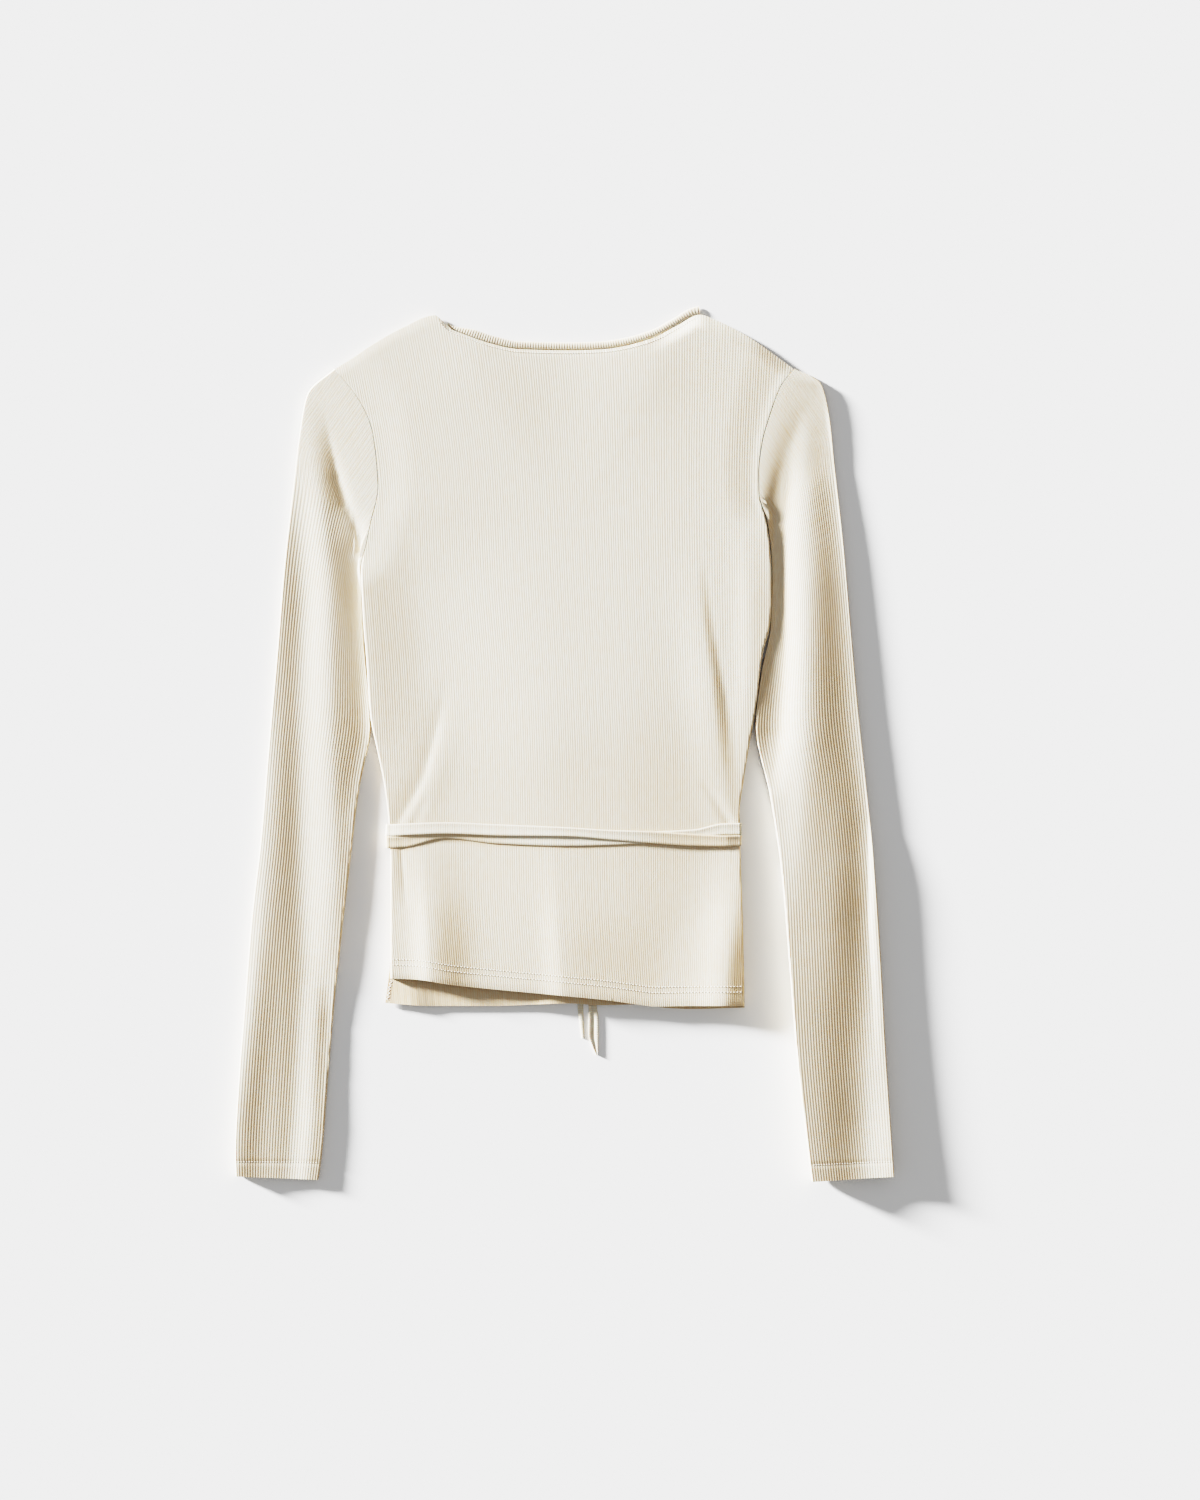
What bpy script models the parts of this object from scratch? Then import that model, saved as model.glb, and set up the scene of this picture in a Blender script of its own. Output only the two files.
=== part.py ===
"""Wrap top in a fine rib knit, lying flat on a table with its back uppermost.

Lengths are millimetres until a mesh is made, where MM turns them into metres.
+X runs towards the wearer's right, +Y towards the neck and +Z up from the table.
The origin is on the table, under the centre of the whole outline.

The panels lie on each other: the outer front on the table, the inner front on it, the back
on both. Each panel is a wall of cloth with a plain inner face and an outer face that carries
the ribs and the largest folds. The sleeves are flattened tubes of the same cloth.
"""

import math
from collections import namedtuple

import bmesh
import bpy

MM = 0.001

# Driving sizes
CLOTH = 1.2  # one wall of knit, in the furrows between its ribs
RIB_RISE = 0.4  # height of a rib over its furrows
GAP = 0.3  # left at every seam, and between layers that touch
LAYER = CLOTH + GAP  # from one flat layer to the next
PUFF = 0.7  # how much fuller a panel is inside its edges
FULLEST = 1.4  # most that puff and folds together add to a wall
EDGE_ROUNDING = 8.0  # width over which a panel rounds down to its edge
SIDE_GAP = 0.5  # between a sleeve and the side of the body it lies against
INNER_TOP_INSET = 0.8  # the back's inner face stops this far under the neckline
OUTER_FRONT_INSET = 1.0  # the outer front's free edge stops short of the left side
SEAM_RISE_WIDTH = 9.0  # width over which the outer front rises to its side seam
SLEEVE_HOLLOW = 1.8  # space between the walls of a sleeve
SLEEVE_EDGE_WALL = 2.6  # cloth thickness at a sleeve's folded edges, across the table
SLEEVE_FLAT_FROM = 3.9  # a sleeve's underside lies flat from this far inside its edges
UNDERARM_FADE = 0.25  # share of a sleeve's width where it leaves the armhole's curve
FOLD_FADE = 0.25  # share of a fold's length over which it fades at each end

BAND_WIDTH = 6.4  # binding round the neck and the wrap edges
BAND_WALL = 2.4  # back neck binding, which is folded over the raw edge
TIE_WALL = 1.5
SHOULDER_Y = 300.0  # height of both shoulder tips
HEM_Y = -186.8  # back hem at the wearer's left side
BACK_RIBS = 155
SLEEVE_RIBS = 34
BAND_RIBS = 92
INNER_STEP = 8  # columns of a ribbed face to each column of the plain face under it
UNDER_COLUMNS = (0.75, 0.5, 0.25)  # shares across a sleeve's underside
HOLLOW_COLUMNS = (0.3, 0.5, 0.7)  # shares across the top of its hollow

# The wrap edges run straight from a neck point to the far side at the waist
NECK_LEFT = (-102.4, 342.8)
NECK_RIGHT = (109.6, 343.6)
WRAP_END_LEFT = (-129.0, -52.0)
WRAP_END_RIGHT = (121.0, -52.0)
INNER_FRONT_INSET = 14.0  # the inner front's free edge stops short of the right side

# Edges and rows of the body, from the shoulders down. top is the row's share of the curve of
# the shoulders and neckline.
Row = namedtuple("Row", "y left right top")
BODY_ROWS = (
    Row(SHOULDER_Y, -182.2, 184.4, 1.00),
    Row(281.0, -166.7, 171.5, 0.85),
    Row(259.0, -154.6, 163.6, 0.68),
    Row(208.0, -147.3, 156.0, 0.36),
    Row(180.0, -152.7, 162.3, 0.20),
    Row(139.0, -161.5, 166.9, 0.06),
    Row(95.0, -159.8, 165.8, 0.0),
    Row(55.0, -155.8, 157.6, 0.0),
    Row(15.0, -152.2, 152.2, 0.0),
    Row(-22.0, -145.0, 145.2, 0.0),
    Row(-46.0, -140.2, 140.6, 0.0),
    Row(-98.0, -137.8, 141.8, 0.0),
    Row(-165.0, -137.6, 144.6, 0.0),
)
WAIST_ROWS = (-46.0, -98.0)  # rows that the ties press flat

Point = namedtuple("Point", "x y")
TOP_EDGE = (  # shoulders, and the neckline under its binding
    Point(-182.2, 300.0), Point(-168.0, 308.7), Point(-152.8, 318.8), Point(-127.2, 333.2),
    Point(*NECK_LEFT), Point(-91.2, 332.7), Point(-77.6, 327.0), Point(-56.4, 319.9),
    Point(-36.4, 315.6), Point(5.6, 314.8), Point(32.0, 315.6), Point(47.6, 317.8),
    Point(61.6, 321.2), Point(76.0, 326.3), Point(90.4, 334.2), Point(*NECK_RIGHT),
    Point(121.6, 339.6), Point(146.4, 326.8), Point(172.0, 309.2), Point(184.4, 300.0),
)
BACK_HEM = (
    Point(-137.6, HEM_Y), Point(-117.6, -187.6), Point(-88.0, -192.0), Point(-49.6, -196.0),
    Point(-10.4, -199.6), Point(36.0, -204.2), Point(56.0, -207.0), Point(75.0, -209.2),
    Point(94.5, -208.8), Point(145.2, -208.4),
)
INNER_HEM = (
    Point(-142.6, -206.6), Point(-103.0, -209.0), Point(-56.0, -209.0), Point(5.6, -206.8),
    Point(29.6, -208.2), Point(61.0, -207.6), Point(131.0, -208.6),
)
OUTER_HEM = (
    Point(-137.0, -204.0), Point(0.0, -204.5), Point(61.0, -206.5), Point(81.0, -210.5),
    Point(104.0, -211.5), Point(142.4, -210.4),
)

# Stations of the sleeves from the armhole to the cuff. follow is the share of the armhole's
# curve. Where inner_x is None the inner edge lies against the side of the body.
Station = namedtuple("Station", "outer_x outer_y inner_x inner_y follow")
LEFT_SLEEVE = (
    Station(-183.0, 300.6, None, 139.0, 1.0),
    Station(-205.0, 279.6, None, 123.0, 0.8),
    Station(-211.0, 248.0, None, 109.0, 0.6),
    Station(-215.2, 210.8, None, 95.0, 0.4),
    Station(-222.5, 148.0, None, 55.0, 0.15),
    Station(-229.0, 72.0, None, 15.0, 0.0),
    Station(-235.5, -1.2, -162.6, -36.0, 0.0),
    Station(-241.6, -74.0, -171.0, -102.0, 0.0),
    Station(-249.0, -138.0, -177.6, -157.0, 0.0),
    Station(-254.6, -207.0, -183.0, -212.0, 0.0),
    Station(-259.4, -272.0, -188.0, -274.0, 0.0),
    Station(-262.6, -325.0, -192.6, -325.0, 0.0),
    Station(-264.6, -344.6, -195.6, -347.8, 0.0),
)
RIGHT_SLEEVE = (
    Station(185.2, 300.6, None, 180.0, 1.0),
    Station(206.0, 289.5, None, 166.0, 0.8),
    Station(213.2, 262.0, None, 152.0, 0.6),
    Station(216.8, 228.0, None, 139.0, 0.4),
    Station(224.4, 158.0, None, 95.0, 0.15),
    Station(230.8, 88.0, None, 55.0, 0.0),
    Station(236.0, 30.0, None, 15.0, 0.0),
    Station(242.0, -27.6, 165.6, -41.0, 0.0),
    Station(249.0, -97.0, 174.4, -102.0, 0.0),
    Station(254.4, -177.2, 180.6, -178.0, 0.0),
    Station(257.6, -241.2, 186.2, -243.0, 0.0),
    Station(262.4, -311.6, 193.8, -312.0, 0.0),
    Station(264.6, -344.6, 198.6, -348.6, 0.0),
)

# Largest folds: a ridge (rise above 0) or a trough (below 0) between two points. bow is how
# far its middle stands off the straight line, to the left of the way it runs.
Fold = namedtuple("Fold", "x0 y0 x1 y1 bow width rise")
BODY_FOLDS = (
    Fold(-132.0, -50.0, -88.0, 18.0, 4.0, 9.0, -0.7),
    Fold(-118.0, -52.0, -64.0, -6.0, 3.0, 8.0, 0.5),
    Fold(137.0, -48.0, 110.0, -25.0, 0.0, 8.0, -0.7),
    Fold(136.0, -40.0, 126.0, 36.0, -3.0, 6.0, -0.7),
    Fold(134.0, 36.0, 111.0, 155.0, 6.0, 8.0, -0.7),
    Fold(148.0, 20.0, 140.0, 165.0, 6.0, 10.0, 0.7),
    Fold(121.0, -46.0, 108.0, 88.0, -4.0, 11.0, 0.5),
    Fold(139.0, -94.0, 140.0, -200.0, 2.0, 7.0, -0.7),
    Fold(126.0, -96.0, 104.0, -200.0, 3.0, 14.0, 0.6),
    Fold(-128.0, -96.0, -126.0, -160.0, 0.0, 8.0, 0.5),
    Fold(-78.0, -98.0, -70.0, -160.0, 0.0, 12.0, -0.5),
    Fold(-152.0, 130.0, -130.0, 90.0, 4.0, 12.0, -0.5),
)
LEFT_SLEEVE_FOLDS = (
    Fold(-189.0, 236.0, -162.0, 152.0, 10.0, 8.0, -0.7),
    Fold(-206.0, 240.0, -222.0, 40.0, 0.0, 9.0, 0.6),
    Fold(-196.0, 190.0, -206.0, -20.0, 0.0, 16.0, -0.7),
    Fold(-222.0, 30.0, -248.0, -300.0, 0.0, 9.0, -0.7),
    Fold(-196.0, 10.0, -218.0, -290.0, 0.0, 12.0, 0.6),
)
RIGHT_SLEEVE_FOLDS = (
    Fold(172.0, 190.0, 176.0, 20.0, 0.0, 7.0, -0.7),
    Fold(190.0, 230.0, 200.0, -60.0, 0.0, 14.0, 0.6),
    Fold(206.0, 60.0, 226.0, -250.0, 0.0, 12.0, -0.7),
    Fold(224.0, 120.0, 246.0, -280.0, 0.0, 9.0, 0.6),
    Fold(186.0, -60.0, 206.0, -320.0, 0.0, 9.0, 0.4),
)

# The ties on the back, from the wearer's left side to the right. Tie a lies over tie b.
# over is 1 where tie a is held up by tie b.
Crossing = namedtuple("Crossing", "x a_high a_low b_high b_low over")
TIE_CROSSING = (
    Crossing(-138.4, -63.6, -73.1, -73.4, -82.8, 0.0),
    Crossing(-126.0, -63.0, -72.4, -72.7, -82.0, 1.0),
    Crossing(-93.6, -62.0, -71.2, -65.2, -75.0, 1.0),
    Crossing(-52.0, -63.6, -72.6, -69.2, -79.2, 1.0),
    Crossing(5.6, -66.2, -73.4, -71.2, -81.0, 1.0),
    Crossing(38.4, -68.2, -76.0, -70.8, -80.2, 1.0),
    Crossing(71.2, -69.2, -78.8, -69.4, -78.6, 1.0),
    Crossing(104.0, -71.4, -81.0, -67.8, -77.2, 1.0),
    Crossing(128.0, -72.6, -81.4, -63.0, -72.3, 1.0),
    Crossing(140.4, -72.4, -80.8, -62.6, -72.1, 0.0),
)
LEFT_SIDE_X = -140.8  # face of the ties where they turn round the left side
RIGHT_SIDE_X = 141.8
TIE_TURN = 2.0  # from that face to where a tie lies flat beneath the garment
TIE_CORNER = 0.6  # how far above or below the faces it joins a tie starts to bend
TIE_ROOT_X = -131.8  # where tie a leaves the outer front

# The knot is under the fronts. It and the ties lift what lies on them.
KNOT_LOW = (11.0, -86.0, 0.0)
KNOT_HIGH = (33.0, -60.0, 3.0)
KNOT_BEVEL = 1.2
TIE_LIFT = TIE_WALL + GAP
KNOT_LIFT = KNOT_HIGH[2] + GAP - TIE_LIFT
LIFT_ROWS = (-165.0, -98.0, -46.0, -22.0)
LIFT_COLUMNS = (-28.0, -4.0, 44.0, 68.0)
FRONT_COLUMNS = (-100.0, -64.0, -28.0, -16.0, -4.0, 20.0, 44.0, 56.0, 68.0, 98.0)

TieEnd = namedtuple("TieEnd", "y left right")
TIE_END_A = (
    TieEnd(-86.3, 12.0, 17.0),
    TieEnd(-150.0, 11.6, 16.6),
    TieEnd(-207.6, 11.6, 16.2),
    TieEnd(-224.0, 13.4, 16.8),
    TieEnd(-234.8, 14.8, 17.2),
)
TIE_END_B = (
    TieEnd(-86.3, 20.0, 30.0),
    TieEnd(-150.0, 20.4, 29.4),
    TieEnd(-207.6, 20.4, 26.8),
    TieEnd(-218.0, 20.6, 28.2),
    TieEnd(-232.0, 20.4, 28.4),
    TieEnd(-241.0, 23.2, 28.2),
    TieEnd(-248.4, 26.6, 27.8),
)

# The back sinks to the table inside the open neck
NECK_SAG_START = 9.0
NECK_SAG_WIDTH = 60.0

CREAM = (0.80, 0.76, 0.67)
CLOTH_ROUGHNESS = 0.85


def lerp(a, b, t):
    return a + (b - a) * t


def ease(t):
    t = min(1.0, max(0.0, t))
    return t * t * (3.0 - 2.0 * t)


def trapezoid(t, corners):
    """0 outside the first and last corner, 1 between the two in the middle."""
    start, full, end_full, end = corners
    return max(0.0, min(1.0, (t - start) / (full - start), (end - t) / (end - end_full)))


def on_line(points, x):
    """Height at x of a line through points, which run from low x to high x."""
    for a, b in zip(points, points[1:]):
        if x <= b.x:
            return lerp(a.y, b.y, max(0.0, (x - a.x) / (b.x - a.x)))
    return points[-1].y


def side_x(side, y):
    """Edge of the body at height y, on the "left" or "right" side."""
    for upper, lower in zip(BODY_ROWS, BODY_ROWS[1:]):
        if y >= lower.y:
            share = (upper.y - y) / (upper.y - lower.y)
            return lerp(getattr(upper, side), getattr(lower, side), share)
    return getattr(BODY_ROWS[-1], side)


def wrap_x(neck, end, y):
    """Where the straight wrap edge from neck to end crosses height y."""
    return neck[0] + (end[0] - neck[0]) * (neck[1] - y) / (neck[1] - end[1])


def height_over_wrap(neck, end, x, y):
    """Distance of a point from a wrap edge, above 0 on the side of the open neck."""
    run_x, run_y = end[0] - neck[0], end[1] - neck[1]
    cross = run_x * (y - neck[1]) - run_y * (x - neck[0])
    return cross / math.hypot(run_x, run_y) * (1.0 if run_x > 0.0 else -1.0)


def lift(x, y):
    """How far the ties, the knot and the tie ends hold up the fronts and the back."""
    waist = trapezoid(y, LIFT_ROWS)
    column = trapezoid(x, LIFT_COLUMNS)
    if y > LIFT_ROWS[1]:
        return TIE_LIFT * waist + KNOT_LIFT * waist * column
    return TIE_LIFT * (waist + column - waist * column) + KNOT_LIFT * waist * column


def back_base(x, y):
    """Inner face of the back: on both fronts, or on the table inside the open neck."""
    over_left = height_over_wrap(NECK_LEFT, WRAP_END_RIGHT, x, y)
    over_right = height_over_wrap(NECK_RIGHT, WRAP_END_LEFT, x, y)
    sag = ease((min(over_left, over_right) - NECK_SAG_START) / NECK_SAG_WIDTH)
    return 2.0 * LAYER * (1.0 - sag) + lift(x, y)


def fold_relief(folds, x, y):
    """Sum of the folds at a point: each fades out to its ends and to both sides."""
    total = 0.0
    for fold in folds:
        run_x, run_y = fold.x1 - fold.x0, fold.y1 - fold.y0
        length = math.hypot(run_x, run_y)
        along = ((x - fold.x0) * run_x + (y - fold.y0) * run_y) / length ** 2
        if not 0.0 < along < 1.0:
            continue
        off = ((y - fold.y0) * run_x - (x - fold.x0) * run_y) / length
        off -= fold.bow * 4.0 * along * (1.0 - along)
        fade = ease(along / FOLD_FADE) * ease((1.0 - along) / FOLD_FADE)
        total += fold.rise * fade * math.exp(-((off / fold.width) ** 2))
    return total


def relief(folds, x, y, inset):
    """What puff and folds add to a wall, inset mm inside its edge."""
    full = min(FULLEST, max(0.0, PUFF + fold_relief(folds, x, y)))
    return full * math.sin(min(1.0, inset / EDGE_ROUNDING) * math.pi / 2.0)


def rib_columns(ribs):
    """Shares across a piece, two for each rib, and the rise at each: furrow, rib, furrow..."""
    count = 2 * ribs
    return [(i / count, RIB_RISE * (i % 2)) for i in range(count + 1)]


def plain_columns(count):
    return [i / count for i in range(count + 1)]


def columns_through(marks, left, right):
    """Shares across a piece from left to right that fall on the marks."""
    return [0.0, *((x - left) / (right - left) for x in marks), 1.0]


# ---- meshes -------------------------------------------------------------------------------


def loft(bm, rows, closed=False):
    """Quads through rows of points. Returns the rows of vertices."""
    made = [[bm.verts.new((x * MM, y * MM, z * MM)) for x, y, z in row] for row in rows]
    for upper, lower in zip(made, made[1:]):
        count = len(upper)
        for i in range(count if closed else count - 1):
            j = (i + 1) % count
            bm.faces.new((upper[i], lower[i], lower[j], upper[j]))
    return made


def zip_rows(bm, first, first_shares, second, second_shares):
    """Triangles between two rows of vertices that run side by side, whatever their counts."""
    i = j = 0
    while i < len(first) - 1 or j < len(second) - 1:
        at_end = i == len(first) - 1
        if at_end or (j < len(second) - 1 and second_shares[j + 1] <= first_shares[i + 1]):
            bm.faces.new((first[i], second[j], second[j + 1]))
            j += 1
        else:
            bm.faces.new((first[i], second[j], first[i + 1]))
            i += 1


def zip_columns(bm, first, second):
    shares = plain_columns(len(first) - 1)
    zip_rows(bm, first, shares, second, shares)


def make_material(name):
    material = bpy.data.materials.new(name)
    material.use_nodes = True
    shader = material.node_tree.nodes["Principled BSDF"]
    shader.inputs["Base Color"].default_value = (*CREAM, 1.0)
    shader.inputs["Roughness"].default_value = CLOTH_ROUGHNESS
    shader.inputs["Metallic"].default_value = 0.0
    return material


def add_piece(collection, name, bm):
    bmesh.ops.recalc_face_normals(bm, faces=bm.faces)
    mesh = bpy.data.meshes.new(name)
    bm.to_mesh(mesh)
    bm.free()
    mesh.materials.append(make_material(name + "_cloth"))
    piece = bpy.data.objects.new(name, mesh)
    collection.objects.link(piece)
    return piece


# ---- flat panels --------------------------------------------------------------------------


def close_wall(bm, outer, outer_shares, inner, inner_shares):
    """Joins the outer and inner faces of a panel along its four edges."""
    for end in (0, -1):
        zip_rows(bm, outer[end], outer_shares, inner[end], inner_shares)
        zip_columns(bm, [row[end] for row in outer], [row[end] for row in inner])


def back_point(row, hem_share, u):
    """Place on the table of the share u across a row of the back."""
    first = BODY_ROWS[0]
    top = on_line(TOP_EDGE, lerp(first.left, first.right, u)) - SHOULDER_Y
    hem = on_line(BACK_HEM, lerp(BACK_HEM[0].x, BACK_HEM[-1].x, u)) - HEM_Y
    return lerp(row.left, row.right, u), row.y + row.top * top + hem_share * hem


def back_outer_row(row, hem_share, columns):
    """Ribbed face of the back at one row. Rows under a tie, the shoulders and the hem are
    pressed flat."""
    pressed = row.y in (*WAIST_ROWS, SHOULDER_Y, HEM_Y)
    points = []
    for u, rise in columns:
        x, y = back_point(row, hem_share, u)
        inset = 0.0 if pressed else min(x - row.left, row.right - x)
        points.append((x, y, back_base(x, y) + CLOTH + rise + relief(BODY_FOLDS, x, y, inset)))
    return points


def back_inner_row(row, hem_share, shares):
    """Plain face of the back at one row."""
    points = []
    for u in shares:
        x, y = back_point(row, hem_share, u)
        if row.top == 1.0 and 0.0 < u < 1.0:
            y -= INNER_TOP_INSET
        points.append((x, y, back_base(x, y)))
    return points


def build_back(collection):
    columns = rib_columns(BACK_RIBS)
    shares = [u for u, _ in columns]
    inner_shares = [*shares[:-1:INNER_STEP], 1.0]
    hem_row = Row(HEM_Y, BACK_HEM[0].x, BACK_HEM[-1].x, 0.0)
    rows = [(row, 0.0) for row in BODY_ROWS] + [(hem_row, 1.0)]
    bm = bmesh.new()
    outer = loft(bm, [back_outer_row(row, hem, columns) for row, hem in rows])
    inner = loft(bm, [back_inner_row(row, hem, inner_shares) for row, hem in rows])
    close_wall(bm, outer, shares, inner, inner_shares)
    return add_piece(collection, "back", bm)


def plain_panel(collection, name, rows, base):
    """A panel of even thickness. rows hold (x, y) points, and base(x, y, i, j) is the height
    of its underside at point j of row i."""
    under = [[(x, y, base(x, y, i, j)) for j, (x, y) in enumerate(row)]
             for i, row in enumerate(rows)]
    over = [[(x, y, z + CLOTH) for x, y, z in row] for row in under]
    shares = plain_columns(len(rows[0]) - 1)
    bm = bmesh.new()
    close_wall(bm, loft(bm, over), shares, loft(bm, under), shares)
    return add_piece(collection, name, bm)


def front_rows(edges, shoulder, hem, marks):
    """Rows of a front. edges gives its left and right edge at each body row, and shoulder the
    ends of its shoulder seam. From the waist down its columns run through the marks."""
    last = BODY_ROWS[-1]
    upper_shares = columns_through(marks, *edges(last))
    rows = []
    for row in BODY_ROWS:
        left, right = edges(row)
        shares = columns_through(marks, left, right) if row.y <= LIFT_ROWS[-1] else upper_shares
        points = []
        for u in shares:
            rise = on_line(TOP_EDGE, lerp(*shoulder, u)) - SHOULDER_Y
            points.append((lerp(left, right, u), row.y + row.top * rise))
        rows.append(points)
    across = [hem[0].x, *marks, hem[-1].x]
    rows.append([(x, on_line(hem, x)) for x in across])
    return rows


def build_front_inner(collection):
    """The wearer's left front, under the back and over the outer front."""
    shoulder_rise = NECK_LEFT[1] - SHOULDER_Y

    def edges(row):
        wrap = wrap_x(NECK_LEFT, WRAP_END_RIGHT, row.y + row.top * shoulder_rise)
        return row.left, min(wrap, row.right - INNER_FRONT_INSET)

    def base(x, y, i, j):
        return LAYER + lift(x, y)

    shoulder = (BODY_ROWS[0].left, NECK_LEFT[0])
    rows = front_rows(edges, shoulder, INNER_HEM, FRONT_COLUMNS)
    return plain_panel(collection, "front_inner", rows, base)


def build_front_outer(collection):
    """The wearer's right front, on the table. Its seamed edges rise to meet the back's."""
    shoulder_rise = NECK_RIGHT[1] - SHOULDER_Y
    marks = (*FRONT_COLUMNS, BODY_ROWS[-1].right - SEAM_RISE_WIDTH)

    def edges(row):
        wrap = wrap_x(NECK_RIGHT, WRAP_END_LEFT, row.y + row.top * shoulder_rise)
        return max(wrap, row.left + OUTER_FRONT_INSET), row.right

    def base(x, y, i, j):
        seamed = j == len(marks) + 1 or i == 0
        return lift(x, y) + (LAYER if seamed else 0.0)

    shoulder = (NECK_RIGHT[0], BODY_ROWS[0].right)
    rows = front_rows(edges, shoulder, OUTER_HEM, marks)
    return plain_panel(collection, "front_outer", rows, base)


# ---- sleeves ------------------------------------------------------------------------------


def armhole_point(side, station, w):
    """Point of the sleeve's top edge at share w of the armhole, a seam gap off the body."""
    away = -1.0 if side == "left" else 1.0
    y = lerp(SHOULDER_Y, station.inner_y, w)
    x = side_x(side, y)
    slope = (side_x(side, y + 1.0) - side_x(side, y - 1.0)) / 2.0
    return x + away * SIDE_GAP * math.hypot(1.0, slope), y


def sleeve_point(side, stations, station, w):
    """Place on the table of share w across a station, from the outer to the inner edge."""
    away = -1.0 if side == "left" else 1.0
    inner_x = station.inner_x
    if inner_x is None:
        inner_x = side_x(side, station.inner_y) + away * SIDE_GAP
    x = lerp(station.outer_x, inner_x, w)
    y = lerp(station.outer_y, station.inner_y, w)
    if station.follow:
        first = stations[0]
        tip = armhole_point(side, first, 0.0)
        pit = armhole_point(side, first, 1.0)
        at = armhole_point(side, first, w)
        follow = station.follow
        if follow < 1.0:
            follow *= ease((1.0 - w) / UNDERARM_FADE)
        x += follow * (at[0] - lerp(tip[0], pit[0], w))
        y += follow * (at[1] - lerp(tip[1], pit[1], w))
        clear = side_x(side, y) + away * SIDE_GAP
        x = min(x, clear) if side == "left" else max(x, clear)
    return x, y


def rounded_share(w, reach):
    """Rises from 0 at both edges to 1 at reach inside them, along a quarter circle."""
    t = min(1.0, min(w, 1.0 - w) / reach)
    return math.sqrt(1.0 - (1.0 - t) ** 2)


def sleeve_span(side, stations, station):
    """Width of the sleeve at a station."""
    return math.dist(sleeve_point(side, stations, station, 0.0),
                     sleeve_point(side, stations, station, 1.0))


def sleeve_shares(span):
    """Shares of the points under a sleeve, and of its hollow's ceiling and floor."""
    flat, wall, reach = (d / span for d in (SLEEVE_FLAT_FROM, SLEEVE_EDGE_WALL, EDGE_ROUNDING))
    under = [1.0 - flat, *UNDER_COLUMNS, flat]
    ceiling = [wall, reach, *HOLLOW_COLUMNS, 1.0 - reach, 1.0 - wall]
    floor = [1.0 - reach, 0.5, reach]
    return under, ceiling, floor


def sleeve_outer_ring(side, stations, station, folds):
    """Ribbed top from the outer to the inner edge, then the flat underside back."""
    span = sleeve_span(side, stations, station)
    at_rim = station in (stations[0], stations[-1])
    ring = []
    for w, rise in rib_columns(SLEEVE_RIBS):
        x, y = sleeve_point(side, stations, station, w)
        inset = 0.0 if at_rim else min(w, 1.0 - w) * span
        full = 2.0 * CLOTH + SLEEVE_HOLLOW + rise + relief(folds, x, y, inset)
        ring.append((x, y, lerp(LAYER, full, rounded_share(w, EDGE_ROUNDING / span))))
    under = sleeve_shares(span)[0]
    return ring + [(*sleeve_point(side, stations, station, w), 0.0) for w in under]


def sleeve_inner_ring(side, stations, station):
    """The hollow: its ceiling from the outer to the inner edge, then its floor back."""
    _, ceiling, floor = sleeve_shares(sleeve_span(side, stations, station))
    heights = [CLOTH + SLEEVE_HOLLOW] * len(ceiling)
    heights[0] = heights[-1] = LAYER
    heights += [CLOTH] * len(floor)
    return [(*sleeve_point(side, stations, station, w), z)
            for w, z in zip(ceiling + floor, heights)]


def close_sleeve_end(bm, ring, hole, span):
    """Rim of cloth between the outer ring and the hollow, over the hollow and under it."""
    top_shares = [w for w, _ in rib_columns(SLEEVE_RIBS)]
    under, ceiling, floor = sleeve_shares(span)
    zip_rows(bm, ring[:len(top_shares)], top_shares, hole[:len(ceiling)], ceiling)
    zip_rows(bm, ring[len(top_shares) - 1:] + ring[:1], [0.0, *(1.0 - w for w in under), 1.0],
             hole[len(ceiling) - 1:] + hole[:1],
             [1.0 - w for w in (ceiling[-1], *floor, ceiling[0])])


def build_sleeve(collection, side, stations, folds):
    bm = bmesh.new()
    outer = loft(bm, [sleeve_outer_ring(side, stations, s, folds) for s in stations], closed=True)
    inner = loft(bm, [sleeve_inner_ring(side, stations, s) for s in stations], closed=True)
    for end in (0, -1):
        close_sleeve_end(bm, outer[end], inner[end], sleeve_span(side, stations, stations[end]))
    return add_piece(collection, "sleeve_" + side, bm)


# ---- bindings -----------------------------------------------------------------------------


def offset_line(points, distance):
    """A line of (x, y) points moved sideways, to the left of the way it runs."""
    moved = []
    for i, (x, y) in enumerate(points):
        before, after = points[max(0, i - 1)], points[min(len(points) - 1, i + 1)]
        run_x, run_y = after[0] - before[0], after[1] - before[1]
        length = math.hypot(run_x, run_y)
        moved.append((x - run_y / length * distance, y + run_x / length * distance))
    return moved


def build_neckband_back(collection):
    """Binding of the back neckline, ribbed across its width."""
    columns = rib_columns(BAND_RIBS)
    shares = [u for u, _ in columns]
    edge = [(x, on_line(TOP_EDGE, x))
            for x in (lerp(NECK_LEFT[0], NECK_RIGHT[0], u) for u in shares)]
    sewn = offset_line(edge, GAP)
    free = offset_line(edge, GAP + BAND_WIDTH)
    heights = [back_base(x, y) for x, y in edge]
    over = [[(x, y, z + BAND_WALL + rise) for (x, y), z, (_, rise) in zip(line, heights, columns)]
            for line in (sewn, free)]
    plain = slice(None, None, INNER_STEP)
    under = [[(x, y, z) for (x, y), z in zip(line[plain], heights[plain])]
             for line in (sewn, free)]
    bm = bmesh.new()
    close_wall(bm, loft(bm, over), shares, loft(bm, under), shares[plain])
    return add_piece(collection, "neckband_back", bm)


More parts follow.
